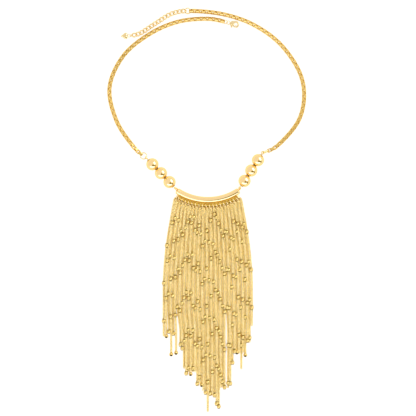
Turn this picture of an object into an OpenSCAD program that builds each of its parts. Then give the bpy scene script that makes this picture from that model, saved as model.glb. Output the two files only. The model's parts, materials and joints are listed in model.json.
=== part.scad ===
// Tassel necklace, laid out flat with its clasp undone.
// Millimetres. +Z is up and z = 0 is the surface that the necklace lies on.
// +Y points from the tassel's tips to the nape of the neck.

/* [Bar] */
// Diameter of the curved tube
bar_d = 4.8; // [4:0.1:6]
// Straight distance between the tube's two ends
bar_chord = 47.5; // [45:0.5:50]
// How far the tube's middle lies below its ends
bar_sag = 7; // [5:0.25:9]
// Length of the cone that closes each end of the tube
bar_cap = 0.8; // [0.5:0.1:1.2]
// Diameter of the wire rail under the tube
rail_d = 1.8; // [1.4:0.1:2.2]
// Diameter of the two posts that join the rail to the tube
post_d = 2.1; // [1.9:0.1:2.6]
// Width of the rail over its two posts
rail_w = 50; // [46:0.5:51]
// How far the end loops lean from the tube's line towards the balls, in degrees
loop_lean = 30; // [0:1:35]

/* [Fringe rings] */
// Number of rings on the rail
ring_count = 18; // [16:1:18]
// Wire diameter of a fringe ring
ring_wire = 0.6; // [0.5:0.05:0.7]
// Free space between the rail and the bottom of a ring
ring_room = 1.05; // [0.9:0.05:1.4]

/* [Fringe] */
// Width of the fringe between its outermost strands
fringe_w = 69; // [60:1:76]
// Distance over which the strands fan out to that width
fan_len = 70; // [50:1:90]
// Depth at which the evenly spread strands start to part into their own places at the tips
part_top = 70; // [60:1:80]
// Distance over which they part
part_len = 26; // [20:1:40]
// Width of a strand
strand_w = 1.7; // [1.4:0.1:1.8]
// Thickness of a strand
strand_t = 1.3; // [1:0.1:1.5]
// Diameter of a bead on a strand
bead_d = 2.9; // [2.5:0.1:3.1]
// Distance between two beads of one strand
bead_gap = 29.6; // [26:0.2:32]
// Free height between the two layers of strands
layer_gap = 0.15; // [0.1:0.05:0.4]

/* [Balls] */
// Diameter of a polished ball
ball_d = 9.5; // [8:0.1:10]
// Number of balls on each side
ball_count = 3; // [3:1:3]
// Diameter of the hole through a ball
ball_bore = 1.6; // [1.3:0.1:2]
// Diameter of the wire that carries the balls
pin_wire = 0.7; // [0.6:0.05:0.9]
// Inner diameter of the eyes of that wire and of the bar's end loops
eye_in = 1.5; // [1.45:0.05:1.8]
// Length of wire between the lower eye and the first ball
pin_neck = 1.1; // [0.9:0.1:2]

/* [Neck chain] */
// Length of a box link
link_len = 3.6; // [3.3:0.05:4]
// Width of a box link
link_w = 3; // [2.8:0.05:3.3]
// Thickness of a box link's metal
link_t = 0.5; // [0.4:0.05:0.6]
// Wire diameter of the two jump rings at the balls
jump_wire = 0.8; // [0.7:0.05:0.9]
// Outer diameter of the two jump rings at the balls
jump_d = 5.8; // [5.6:0.1:6.4]
// Roll of the left jump ring, 0 is flat
jump_roll_left = 10; // [0:1:30]
// Roll of the right jump ring, 90 is upright
jump_roll_right = 80; // [60:1:90]

/* [Clasp] */
// Length of the clasp
clasp_len = 10.2; // [9.4:0.1:12]
// Width of the clasp's hook
clasp_w = 5.2; // [5:0.1:5.8]
// Width of the hook's metal, seen from above
hook_w = 1.15; // [1:0.05:1.25]
// Thickness of the clasp's body
clasp_t = 2.4; // [2.2:0.1:3]
// Thickness of the lever
lever_t = 0.9; // [0.7:0.05:1.1]
// Outer diameter of the clasp's tail eye
tail_d = 3.2; // [3.1:0.1:3.4]
// Hole of the clasp's tail eye
tail_hole = 2.2; // [2.15:0.05:2.3]
// Thickness of the clasp's tail eye
tail_t = 0.5; // [0.4:0.05:0.55]
// Diameter of the lever's pin
clasp_pin_d = 0.8; // [0.6:0.05:0.9]
// Wire diameter of the ring between chain and clasp
clasp_ring_wire = 0.5; // [0.4:0.05:0.55]
// Outer diameter of the ring between chain and clasp
clasp_ring_d = 3.9; // [3.8:0.05:4.2]

/* [Extender] */
// Number of curb links
curb_count = 15; // [12:1:16]
// Length of a curb link
curb_len = 4.9; // [4.7:0.05:5.2]
// Width of a curb link
curb_w = 3.8; // [3.6:0.05:4.1]
// Wire diameter of a curb link
curb_wire = 0.8; // [0.7:0.05:0.85]
// Wire diameter of the ring between chain and extender
ext_ring_wire = 0.8; // [0.6:0.05:0.9]
// Outer diameter of the ring between chain and extender
ext_ring_d = 5.4; // [5:0.1:6]
// Length of the heart without its loop
heart_len = 5.4; // [4:0.1:6]
// Width of the heart
heart_w = 5; // [4:0.1:5.6]
// Thickness of the heart
heart_t = 1.8; // [1.6:0.1:2.2]
// Wire diameter of the heart's ring and loop
heart_wire = 0.45; // [0.4:0.05:0.5]
// Inner diameter of the heart's ring and loop
heart_in = 1.95; // [1.9:0.05:2.1]

/* [Clearances] */
// Play between two links that hold each other, along the chain
link_gap = 0.2; // [0.15:0.01:0.25]
// Play on each side of a link inside its neighbour
side_gap = 0.22; // [0.18:0.01:0.28]
// Play between the fringe rings, the rail and the tube
play = 0.15; // [0.12:0.01:0.2]
// Space between two balls
ball_gap = 0.15; // [0.1:0.05:0.4]
// Radial clearance of the clasp's pin in its holes
pin_play = 0.05; // [0.02:0.01:0.08]
// Play of the lever in its slot, on each side
slot_play = 0.12; // [0.1:0.01:0.15]

/* [Hidden] */

$fn = 48;
GOLD = [0.88, 0.71, 0.35];
PALE_GOLD = [0.93, 0.79, 0.47];

// The chosen points of the neck chain's two halves, measured from the middle of the bar.
// The left half ends at the clasp's nose, the right one at the tip of the heart.
LEFT_ROUTE = [[-58, 41.5], [-71.5, 62], [-77, 88], [-66.5, 112.5], [-46.5, 129.5],
    [-24, 139.5], [-0.5, 142], [16, 139], [26, 136]];
RIGHT_ROUTE = [[54.5, 42.5], [70.5, 61], [75.5, 81], [71.5, 101], [56.5, 122.5], [35.5, 137.5],
    [12, 145.6], [-13.5, 148.2], [-28, 146.2], [-41.5, 138.2], [-55, 130], [-69, 128.6]];
// The direction that the balls take from each end of the bar, in degrees.
LEFT_HEADING = 134;
RIGHT_HEADING = 57;
SPLINE_STEPS = 12;

// The strands from left to right: place at the tips as a share of half the fringe's width,
// number of beads, first bead and bare chain after the last bead as shares of bead_gap.
ACROSS = 0;
BEADS = 1;
FIRST = 2;
TAIL = 3;
STRANDS = [
    [-1.00, 3, 1.20, 0.42], [-0.94, 4, 0.60, 0], [-0.88, 4, 0.48, 0], [-0.83, 4, 1.08, 0],
    [-0.78, 4, 0.53, 0], [-0.72, 4, 1.04, 0], [-0.62, 4, 0.82, 0], [-0.58, 4, 0.92, 0],
    [-0.54, 4, 0.73, 0.77], [-0.49, 5, 0.58, 0], [-0.44, 5, 0.44, 0.13], [-0.39, 5, 0.60, 0],
    [-0.34, 5, 0.45, 0.12], [-0.29, 4, 0.80, 0.76], [-0.24, 5, 0.86, 0], [-0.19, 5, 0.68, 0.20],
    [-0.14, 5, 0.89, 0], [-0.10, 4, 1.22, 0.85], [-0.05, 5, 1.09, 0], [0.00, 5, 0.81, 0.83],
    [0.05, 5, 1.12, 0], [0.10, 5, 0.54, 0.66], [0.15, 5, 1.16, 0], [0.20, 6, 0.38, 0],
    [0.25, 6, 0.46, 0], [0.29, 5, 0.62, 0.35], [0.33, 5, 0.80, 0.18], [0.38, 5, 0.95, 0],
    [0.46, 5, 0.84, 0.14], [0.51, 5, 0.85, 0], [0.56, 4, 1.30, 0], [0.61, 4, 1.00, 0],
    [0.66, 4, 1.03, 0], [0.71, 4, 0.57, 0.52], [0.76, 4, 0.84, 0.68], [0.80, 4, 0.63, 0.45],
    [0.85, 4, 1.10, 0], [0.90, 4, 0.72, 0], [0.95, 4, 0.64, 0.15], [1.00, 3, 0.84, 0.52]];
STRAND_SIDES = 6;
// Width of a strand's neck beside its ring, and the length over which it widens below it
neck_w = 0.5;
drop_len = 7;
HEAD_STEPS = 24;
CURB_STATIONS = 14;
CURB_SIDES = 6;

// Bar: its arc runs round a centre above the bar's middle
bar_r = bar_d / 2;
arc_r = (bar_chord * bar_chord / 4 + bar_sag * bar_sag) / (2 * bar_sag);
arc_a = asin(bar_chord / 2 / arc_r);
rail_r = arc_r + bar_r + ring_wire + 2 * play + rail_d / 2;
bar_z = bar_r;
cap_sink = 0.2;
post_h = rail_r - arc_r - bar_r * 0.5;

// Fringe rings
ring_in = rail_d + play + ring_room;
ring_r = rail_r - rail_d / 2 - play + ring_in / 2;
rail_a = asin((rail_w - post_d) / 2 / rail_r);
ring_a = rail_a - asin((post_d / 2 + ring_wire / 2 + 2 * play) / rail_r);
ring_step = 2 * ring_a / (ring_count - 1);
head_d = ring_room - 2 * play;
head_r = rail_r + rail_d / 2 + ring_room / 2;
// Two strands for each ring, and those that are left over beyond the posts
strand_count = len(STRANDS);
strand_step = ring_step / 2;
head_a = strand_count * strand_step / 2;
neck_r = head_r + ring_room / 2 + ring_wire + 2 * play;

// Two layers of strands, the lower one resting on its beads
low_z = bead_d / 2;
high_z = low_z + bead_d / 2 + layer_gap + strand_t / 2;
top_z = high_z + bead_d / 2;
fringe_end = bead_gap * max([for (s = STRANDS) s[FIRST] + s[BEADS] - 1 + s[TAIL]]);

// Eyes, loops and balls
eye_mid = (eye_in + pin_wire) / 2;
eye_step = eye_in - link_gap;
loop_out = eye_in / 2 + pin_wire;
loop_s = bar_cap + loop_out - 0.7;
ball_z = ball_d / 2;
slope_len = eye_step + loop_out + pin_neck;
slope_run = sqrt(slope_len * slope_len - (ball_z - bar_z) * (ball_z - bar_z));
slope_a = asin((ball_z - bar_z) / slope_len);
ball_step = ball_d + ball_gap;
mouth_s = slope_run;
string_len = ball_count * ball_step - ball_gap;
far_bend_s = mouth_s + string_len + pin_wire / 2;
far_neck_s = far_bend_s + 0.8;
far_eye_s = far_neck_s + eye_mid;
far_z = jump_d / 2;

// Box links: each sits square to its neighbours and the whole chain is rolled by 45 degrees
link_b = link_w - 2 * link_t - 2 * side_gap;
link_step = link_len - 2 * link_t - link_gap;
chain_z = norm([link_w, link_b]) / 2;
TURN_LINKS = 12;

// Jump rings between the balls' wires and the chains
jump_mid = (jump_d - jump_wire) / 2;
jump_s = eye_mid - pin_wire / 2 - link_gap - jump_wire / 2 + jump_mid;
// From a ring's middle to the middle of a box link's end that it holds
function hold(mid, wire) =
    sqrt(mid * mid - link_b * link_b / 4) - wire / 2 - link_t / 2 - link_gap;
chain_s = jump_s + hold(jump_mid, jump_wire) + (link_len - link_t) / 2;

// Clasp: measured from the middle of its tail eye
clasp_z = clasp_t / 2;
hook_r = clasp_w / 2;
hook_in = hook_r - hook_w;
hook_x = clasp_len - tail_d / 2 - hook_r;
pivot_x = hook_x - hook_r - 0.3;
pivot_y = -0.37 * hook_r;
lever_root = 0.95;
slot_t = lever_t + 2 * slot_play;
clasp_ring_mid = (clasp_ring_d - clasp_ring_wire) / 2;
clasp_ring_out = hold(clasp_ring_mid, clasp_ring_wire);
clasp_tail_out = clasp_ring_mid - clasp_ring_wire / 2 - (tail_d - tail_hole) / 4 - link_gap;
clasp_ring_z = clasp_ring_mid * sin(45) + clasp_ring_wire / 2;
tail_z = clasp_ring_z - clasp_z;

// Extender and heart
curb_step = curb_len - 2 * curb_wire - link_gap;
curb_z = (curb_w - curb_wire) * 0.187 + curb_wire / 2;
ext_mid = (ext_ring_d - ext_ring_wire) / 2;
ext_at_link = hold(ext_mid, ext_ring_wire);
ext_at_curb = ext_mid - ext_ring_wire / 2 - curb_wire / 2 - link_gap;
EXT_ROLL = 30;
RISE_LINKS = 4;
ext_ring_z = ext_mid * sin(EXT_ROLL) + ext_ring_wire / 2;
heart_mid = (heart_in + heart_wire) / 2;
heart_at_curb = heart_mid - heart_wire / 2 - curb_wire / 2 - link_gap;
heart_at_loop = heart_mid - heart_wire - link_gap;
HEART_ROLL = 55;
heart_ring_z = heart_mid * sin(HEART_ROLL) + heart_wire / 2;
heart_sink = 0.3;

// Places along a route: a smooth curve through its points, then tables of length to x and y
function spline(p, i, t) =
    let (a = p[max(i - 1, 0)], b = p[i], c = p[i + 1], d = p[min(i + 2, len(p) - 1)])
    0.5 * (2 * b + (c - a) * t + (2 * a - 5 * b + 4 * c - d) * t * t + (3 * b - a - 3 * c + d) * t * t * t);
function dense(p) = concat(
    [for (i = [0:len(p) - 2]) for (j = [0:SPLINE_STEPS - 1]) spline(p, i, j / SPLINE_STEPS)],
    [p[len(p) - 1]]);
function running(d) =
    [for (i = 0, s = 0; i < len(d); s = s + (i + 1 < len(d) ? norm(d[i + 1] - d[i]) : 0), i = i + 1) s];
function table(d, axis) = let (r = running(d)) [for (i = [0:len(d) - 1]) [r[i], d[i][axis]]];
function unit(a) = [cos(a), sin(a)];

left_end = [-bar_chord / 2, bar_sag];
right_end = [bar_chord / 2, bar_sag];
left_loop = left_end + loop_s * unit(180 - arc_a - loop_lean);
right_loop = right_end + loop_s * unit(arc_a + loop_lean);
left_eye = left_loop + far_eye_s * unit(LEFT_HEADING);
right_eye = right_loop + far_eye_s * unit(RIGHT_HEADING);
left_dense = dense(concat([left_eye], LEFT_ROUTE));
right_dense = dense(concat([right_eye], RIGHT_ROUTE));
left_x = table(left_dense, 0);
left_y = table(left_dense, 1);
right_x = table(right_dense, 0);
right_y = table(right_dense, 1);
left_len = left_x[len(left_x) - 1][0];
right_len = right_x[len(right_x) - 1][0];

// How many box links each half takes, and where the pieces after them sit
clasp_run = clasp_ring_out + clasp_tail_out + (tail_d + tail_hole) / 4 + hook_x + hook_r;
left_links = floor((left_len - chain_s - (link_len - link_t) / 2 - clasp_run) / link_step) + 1;
left_last_s = chain_s + (left_links - 1) * link_step;
clasp_ring_s = left_last_s + (link_len - link_t) / 2 + clasp_ring_out;
clasp_s = clasp_ring_s + clasp_tail_out + (tail_d + tail_hole) / 4;
extender_run = ext_at_link + ext_at_curb + curb_len - curb_wire + (curb_count - 1) * curb_step
    + heart_at_curb + heart_at_loop + heart_mid + heart_in / 2 + heart_sink + heart_len;
right_links = floor((right_len - chain_s - (link_len - link_t) / 2 - extender_run) / link_step) + 1;
right_last_s = chain_s + (right_links - 1) * link_step;
ext_ring_s = right_last_s + (link_len - link_t) / 2 + ext_at_link;
curb_s = ext_ring_s + ext_at_curb + (curb_len - curb_wire) / 2;
curb_last_s = curb_s + (curb_count - 1) * curb_step;
heart_ring_s = curb_last_s + (curb_len - curb_wire) / 2 + heart_at_curb;
heart_s = heart_ring_s + heart_at_loop + heart_mid;
// +1 or -1: which way the last box link of a half leans
left_hand = left_links % 2 == 1 ? 1 : -1;
right_hand = right_links % 2 == 1 ? 1 : -1;

// The origin lies under the middle of the whole necklace
x_low = min([for (p = left_dense) p[0]]) - chain_z;
x_high = max([for (p = right_dense) p[0]]) + chain_z;
y_high = max([for (p = right_dense) p[1]]) + chain_z;
SHIFT = [-(x_low + x_high) / 2, (fringe_end - y_high) / 2, 0];

// Places its children with their X axis along the route at s, rolled about it
module along_left(s, z, roll = 0) {
    x = lookup(s, left_x);
    y = lookup(s, left_y);
    heading = atan2(lookup(s + 0.5, left_y) - lookup(s - 0.5, left_y),
        lookup(s + 0.5, left_x) - lookup(s - 0.5, left_x));
    translate([x, y, z] + SHIFT)
        rotate([0, 0, heading])
            rotate([roll, 0, 0])
                children();
}

module along_right(s, z, roll = 0) {
    x = lookup(s, right_x);
    y = lookup(s, right_y);
    heading = atan2(lookup(s + 0.5, right_y) - lookup(s - 0.5, right_y),
        lookup(s + 0.5, right_x) - lookup(s - 0.5, right_x));
    translate([x, y, z] + SHIFT)
        rotate([0, 0, heading])
            rotate([roll, 0, 0])
                children();
}

// Places its children with their X axis along the bar at angle a and -Y away from the arc's centre
module on_arc(radius, a) {
    translate([radius * sin(a), arc_r - radius * cos(a), bar_z] + SHIFT)
        rotate([0, 0, a])
            children();
}

// A round ring lying in the XY plane
module ring(mid, wire) {
    rotate_extrude()
        translate([mid, 0])
            circle(d = wire);
}

// A round rod bent along the bar's arc
module arc_rod(radius, d, half_angle) {
    translate([0, arc_r, bar_z] + SHIFT)
        rotate([0, 0, -90 - half_angle])
            rotate_extrude(angle = 2 * half_angle, $fn = 180)
                translate([radius, 0])
                    circle(d = d);
}

// Bar: tube with coned ends, end loops, and the rail soldered on by its two posts
module bar_end(side) {
    on_arc(arc_r, side * arc_a)
        rotate([0, side * 90, 0])
            translate([0, 0, -cap_sink])
                cylinder(h = bar_cap + cap_sink, r1 = bar_r * 0.97, r2 = bar_r * 0.45);
    from_loop(side, 0, bar_z)
        rotate([45, -slope_a, 0])
            ring(eye_mid, pin_wire);
    on_arc(rail_r, side * rail_a)
        rotate([90, 0, 0])
            translate([0, 0, -post_h])
                cylinder(h = post_h + rail_d / 2, d = post_d);
}

module bar() {
    color(GOLD)
        union() {
            arc_rod(arc_r, bar_d, arc_a);
            arc_rod(rail_r, rail_d, rail_a);
            bar_end(-1);
            bar_end(1);
        }
}

// Fringe rings: loose on the rail, each with two strands
module fringe_rings() {
    color(PALE_GOLD)
        for (i = [0:ring_count - 1])
            on_arc(ring_r, -ring_a + i * ring_step)
                rotate([0, 90, 0])
                    ring((ring_in + ring_wire) / 2, ring_wire);
}

// One strand: a strip whose sections swell at its beads
function strand_top(k) = (k - (strand_count - 1) / 2) * strand_step;
function evenly(k) = 2 * k / (strand_count - 1) - 1;
function strand_layer(k) = k % 2 == 0 ? low_z : high_z;
function ease(u) = sin(90 * min(max(u, 0), 1));
function smooth(u) = (1 - cos(180 * min(max(u, 0), 1))) / 2;
// Sections as [x, y, z, half width, half thickness]: a thin neck past the ring, then the fan
function strand_row(k, down, w, t) =
    let (a = strand_top(k),
        x0 = neck_r * sin(a),
        fall = down - neck_r * cos(a) + arc_r,
        parting = (STRANDS[k][ACROSS] - evenly(k)) * smooth((down - part_top) / part_len))
    [x0 + (evenly(k) * fringe_w / 2 - x0) * ease(fall / fan_len) + parting * fringe_w / 2, -down,
        bar_z + (strand_layer(k) - bar_z) * ease(fall / drop_len), w, t];
function strand_rows(k) =
    let (row = STRANDS[k],
        a = strand_top(k),
        w = strand_w / 2,
        t = strand_t / 2,
        b = bead_d / 2)
    concat(
        [for (r = [head_r, neck_r]) [r * sin(a), arc_r - r * cos(a), bar_z, neck_w / 2, neck_w / 2]],
        [strand_row(k, neck_r * cos(a) - arc_r + drop_len, w, t)],
        [for (n = [0:row[BEADS] - 1]) let (y = bead_gap * (row[FIRST] + n))
            for (q = [[-0.9, w, t], [-0.45, b, b], [0.45, b, b], [0.9, w, t]])
                strand_row(k, y + q[0] * b, q[1], q[2])],
        row[TAIL] > 0 ? [strand_row(k, bead_gap * (row[FIRST] + row[BEADS] - 1 + row[TAIL]), w, t)] : []);

module strand(k) {
    rows = strand_rows(k);
    n = len(rows);
    sides = STRAND_SIDES;
    points = [for (q = rows) for (j = [0:sides - 1]) let (a = 360 * (j + 0.5) / sides)
        [q[0] + q[3] * cos(a), q[1], q[2] + q[4] * sin(a)] + SHIFT];
    walls = [for (i = [0:n - 2]) for (j = [0:sides - 1])
        let (a = i * sides + j, b = i * sides + (j + 1) % sides)
            each [[a, b + sides, b], [a, a + sides, b + sides]]];
    caps = [[for (j = [0:sides - 1]) j], [for (j = [sides - 1:-1:0]) (n - 1) * sides + j]];
    polyhedron(points, concat(walls, caps));
}

// Fringe: all strands hang from one thin rod that passes through every ring
module head_disc(a) {
    on_arc(head_r, a)
        rotate([0, 90, 0])
            cylinder(h = 0.02, d = head_d, $fn = 8);
}

module fringe() {
    color(GOLD)
        union() {
            for (i = [0:HEAD_STEPS - 1])
                hull() {
                    head_disc(-head_a + 2 * head_a * i / HEAD_STEPS);
                    head_disc(-head_a + 2 * head_a * (i + 1) / HEAD_STEPS);
                }
            for (k = [0:strand_count - 1])
                strand(k);
        }
}

// Balls on a straight wire, which slopes up from the bar's loop to the first ball
module from_loop(side, s, z) {
    translate([0, 0, z] + SHIFT)
        translate(side < 0 ? left_loop : right_loop)
            rotate([0, 0, side < 0 ? LEFT_HEADING : RIGHT_HEADING])
                translate([s, 0, 0])
                    children();
}

module ball(side, i) {
    color(PALE_GOLD)
        from_loop(side, mouth_s + ball_d / 2 + i * ball_step, ball_z)
            rotate([0, 90, 0])
                rotate_extrude($fn = 72)
                    difference() {
                        circle(d = ball_d);
                        translate([ball_bore / 2 - ball_d, -ball_d])
                            square([ball_d, 2 * ball_d]);
                    }
}

module ball_wire(side, far_roll) {
    knuckle = pin_wire * 1.15;
    far_run = far_neck_s - far_bend_s;
    color(GOLD)
        union() {
            from_loop(side, 0, bar_z)
                rotate([0, -slope_a, 0])
                    translate([eye_step, 0, 0]) {
                        rotate([-45, 0, 0])
                            ring(eye_mid, pin_wire);
                        translate([eye_mid, 0, 0])
                            rotate([0, 90, 0])
                                cylinder(h = slope_len - eye_step - eye_mid, d = pin_wire);
                    }
            from_loop(side, mouth_s, ball_z) {
                sphere(d = knuckle);
                rotate([0, 90, 0])
                    cylinder(h = far_bend_s - mouth_s, d = pin_wire);
            }
            from_loop(side, far_bend_s, ball_z) {
                sphere(d = knuckle);
                rotate([0, 90 + atan2(ball_z - far_z, far_run), 0])
                    cylinder(h = norm([far_run, ball_z - far_z]), d = pin_wire);
            }
            from_loop(side, far_neck_s, far_z)
                sphere(d = knuckle);
            from_loop(side, far_eye_s, far_z)
                rotate([far_roll, 0, 0])
                    ring(eye_mid, pin_wire);
        }
}

// Jump rings between the balls' wires and the chains
module jump_ring_left() {
    color(PALE_GOLD)
        along_left(jump_s, far_z, jump_roll_left)
            ring(jump_mid, jump_wire);
}

module jump_ring_right() {
    color(PALE_GOLD)
        along_right(jump_s, far_z, jump_roll_right)
            ring(jump_mid, jump_wire);
}

// Box links, each turned square to the last; the first few ease down from the jump ring
module box_link() {
    difference() {
        cube([link_len, link_w, link_b], center = true);
        cube([link_len - 2 * link_t, link_w - 2 * link_t, link_b + 1], center = true);
    }
}
function link_roll(i, first) = (first - 45) * max(0, 1 - i / TURN_LINKS) + 45 + 90 * i - 90;
function link_z(i) = chain_z + (far_z - chain_z) * max(0, 1 - i / TURN_LINKS);

module neck_chain_left() {
    color(GOLD)
        for (i = [0:left_links - 1])
            along_left(chain_s + i * link_step, link_z(i), link_roll(i, jump_roll_left))
                box_link();
}

module neck_chain_right() {
    color(GOLD)
        for (i = [0:right_links - 1])
            along_right(chain_s + i * link_step, link_z(i), link_roll(i, jump_roll_right))
                box_link();
}

module clasp_ring() {
    color(PALE_GOLD)
        along_left(clasp_ring_s, clasp_ring_z, left_hand * 45)
            ring(clasp_ring_mid, clasp_ring_wire);
}

// A flat piece of a ring about the hook's middle
module hook_sector(r_low, r_high, t, from, to) {
    translate([hook_x, 0, 0])
        rotate([0, 0, from])
            rotate_extrude(angle = to - from, $fn = 96)
                translate([r_low, -t / 2])
                    square([r_high - r_low, t]);
}

// Clasp body: hook, shank with the lever's slot, and a tail eye
module clasp_body() {
    nose_a = -70;
    color(PALE_GOLD)
        along_left(clasp_s, clasp_z)
            difference() {
                union() {
                    hook_sector(hook_in, hook_r, clasp_t, nose_a, 185);
                    difference() {
                        translate([0, 0, -clasp_t / 2])
                            linear_extrude(clasp_t)
                                polygon([[tail_d * 0.45, tail_d * 0.24], [pivot_x * 0.6, hook_r * 0.55],
                                    [pivot_x, hook_r * 0.8], [hook_x - hook_r * 0.5, hook_r * 0.84],
                                    [hook_x - hook_r * 0.5, -hook_r * 0.4], [pivot_x + 0.8, -hook_r * 0.64],
                                    [pivot_x - 1.1, -hook_r * 0.72], [tail_d * 0.45, -tail_d * 0.24]]);
                        translate([hook_x, 0, 0])
                            cylinder(h = clasp_t + 1, r = hook_in + 0.1, center = true);
                    }
                    translate([0, 0, tail_z])
                        cylinder(h = tail_t, d = tail_d, center = true);
                }
                cylinder(h = clasp_t + 1, d = tail_hole, center = true);
                translate([pivot_x, pivot_y, 0])
                    cylinder(h = clasp_t + 1, r = clasp_pin_d / 2 + pin_play, center = true);
                translate([pivot_x, pivot_y, 0])
                    cylinder(h = slot_t, r = lever_root + 0.15, center = true);
                translate([pivot_x, pivot_y - 3, -slot_t / 2])
                    cube([hook_x - hook_in + 0.4 - pivot_x, 3 + lever_root + 0.2, slot_t]);
                translate([pivot_x - lever_root * 0.75, pivot_y - 3, -slot_t / 2])
                    cube([lever_root, 3, slot_t]);
            }
}

// Clasp lever: root on the pin, an arm along the hook's open side and a thumb tab
module clasp_lever() {
    tab_w = 1;
    color(GOLD)
        along_left(clasp_s, clasp_z)
            difference() {
                union() {
                    translate([pivot_x, pivot_y, 0])
                        cylinder(h = lever_t, r = lever_root, center = true);
                    hook_sector(hook_in + 0.05, hook_r, lever_t, 195, 264);
                    hook_sector(hook_in - 0.6, hook_in + 0.5, lever_t, 247, 263);
                    hook_sector(hook_in - 0.6, hook_in - 0.13, lever_t, 248, 306);
                    translate([pivot_x - tab_w * 0.45, pivot_y - 2.1, -lever_t / 2])
                        cube([tab_w, 1.6, lever_t]);
                    translate([pivot_x - tab_w * 0.45 - 0.1, pivot_y - 2.1, -lever_t * 0.9])
                        cube([tab_w + 0.2, 0.85, lever_t * 1.8]);
                }
                translate([pivot_x, pivot_y, 0])
                    cylinder(h = lever_t + 1, r = clasp_pin_d / 2 + pin_play, center = true);
            }
}

module clasp_pin() {
    color(GOLD)
        along_left(clasp_s, clasp_z)
            translate([pivot_x, pivot_y, 0])
                cylinder(h = clasp_t, d = clasp_pin_d, center = true);
}

module extender_ring() {
    color(PALE_GOLD)
        along_right(ext_ring_s, ext_ring_z, right_hand * EXT_ROLL)
            ring(ext_mid, ext_ring_wire);
}

// Curb link: an oval of round wire, twisted by a quarter turn from end to end
function curb_centre(t) =
    let (x = (curb_len - curb_wire) / 2 * cos(t),
        y = (curb_w - curb_wire) / 2 * sin(t),
        turn = right_hand * 45 * cos(t))
    [x, y * cos(turn), y * sin(turn)];

module curb_link() {
    points = [for (i = [0:CURB_STATIONS - 1])
        let (t = 360 * i / CURB_STATIONS,
            c = curb_centre(t),
            along = curb_centre(t + 1) - curb_centre(t - 1),
            tangent = along / norm(along),
            flat_out = c - (c * tangent) * tangent,
            out = flat_out / norm(flat_out),
            side = cross(tangent, out))
            for (j = [0:CURB_SIDES - 1]) let (a = 360 * j / CURB_SIDES)
                c + curb_wire / 2 * (cos(a) * out + sin(a) * side)];
    faces = [for (i = [0:CURB_STATIONS - 1]) for (j = [0:CURB_SIDES - 1])
        let (i2 = (i + 1) % CURB_STATIONS, j2 = (j + 1) % CURB_SIDES,
            a = i * CURB_SIDES + j, b = i * CURB_SIDES + j2,
            c = i2 * CURB_SIDES + j2, d = i2 * CURB_SIDES + j)
            each [[a, c, b], [a, d, c]]];
    polyhedron(points, faces);
}

module extender_chain() {
    color(GOLD)
        for (i = [0:curb_count - 1])
            along_right(curb_s + i * curb_step,
                curb_z + (ext_ring_z - curb_z) * max(0, 1 - i / RISE_LINKS))
                curb_link();
}

module heart_ring() {
    color(PALE_GOLD)
        along_right(heart_ring_s, heart_ring_z, -right_hand * HEART_ROLL)
            ring(heart_mid, heart_wire);
}

// Heart with a soldered loop in its notch; measured from the middle of the loop
module heart_drop() {
    lobe_r = heart_w * 0.28;
    lobe_y = heart_w / 2 - lobe_r;
    lobe_x = heart_in / 2 + heart_sink + lobe_r;
    tip_x = heart_in / 2 + heart_sink + heart_len;
    reach = norm([tip_x - lobe_x, lobe_y]);
    lean = atan2(lobe_y, tip_x - lobe_x) + acos(lobe_r / reach);
    color(PALE_GOLD)
        along_right(heart_s, heart_t / 2)
            union() {
                translate([0, 0, heart_ring_z - heart_t / 2]) {
                    ring(heart_mid, heart_wire);
                    translate([heart_mid, -heart_wire * 0.6, -heart_wire / 2])
                        cube([lobe_x - heart_mid, heart_wire * 1.2, heart_wire]);
                }
                translate([0, 0, -heart_t / 2])
                    linear_extrude(heart_t) {
                        for (side = [-1, 1])
                            translate([lobe_x, side * lobe_y])
                                circle(r = lobe_r);
                        polygon([[tip_x, 0],
                            [lobe_x + lobe_r * 0.98 * cos(lean - 2 * atan2(lobe_y, tip_x - lobe_x)),
                                lobe_y + lobe_r * 0.98 * sin(lean - 2 * atan2(lobe_y, tip_x - lobe_x))],
                            [lobe_x - lobe_r * 0.2, lobe_y], [lobe_x - lobe_r * 0.2, -lobe_y],
                            [lobe_x + lobe_r * 0.98 * cos(lean - 2 * atan2(lobe_y, tip_x - lobe_x)),
                                -lobe_y - lobe_r * 0.98 * sin(lean - 2 * atan2(lobe_y, tip_x - lobe_x))]]);
                    }
            }
}

bar();
fringe_rings();
fringe();
ball(-1, 0);  // ball_left_1
ball(-1, 1);  // ball_left_2
ball(-1, 2);  // ball_left_3
ball(1, 0);  // ball_right_1
ball(1, 1);  // ball_right_2
ball(1, 2);  // ball_right_3
ball_wire(-1, jump_roll_left + 90);  // ball_wire_left
ball_wire(1, jump_roll_right - 90);  // ball_wire_right
jump_ring_left();
jump_ring_right();
neck_chain_left();
neck_chain_right();
clasp_ring();
clasp_body();
clasp_lever();
clasp_pin();
extender_ring();
extender_chain();
heart_ring();
heart_drop();
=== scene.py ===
"""Tassel necklace laid flat.

Gold-plated box chain, polished balls, a curved bar and a beaded chain fringe.
"""

import json
import logging
import math
from dataclasses import dataclass
from enum import Enum
from typing import NamedTuple

import bmesh
import bpy
import numpy as np
from mathutils import Euler, Matrix, Vector

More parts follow.
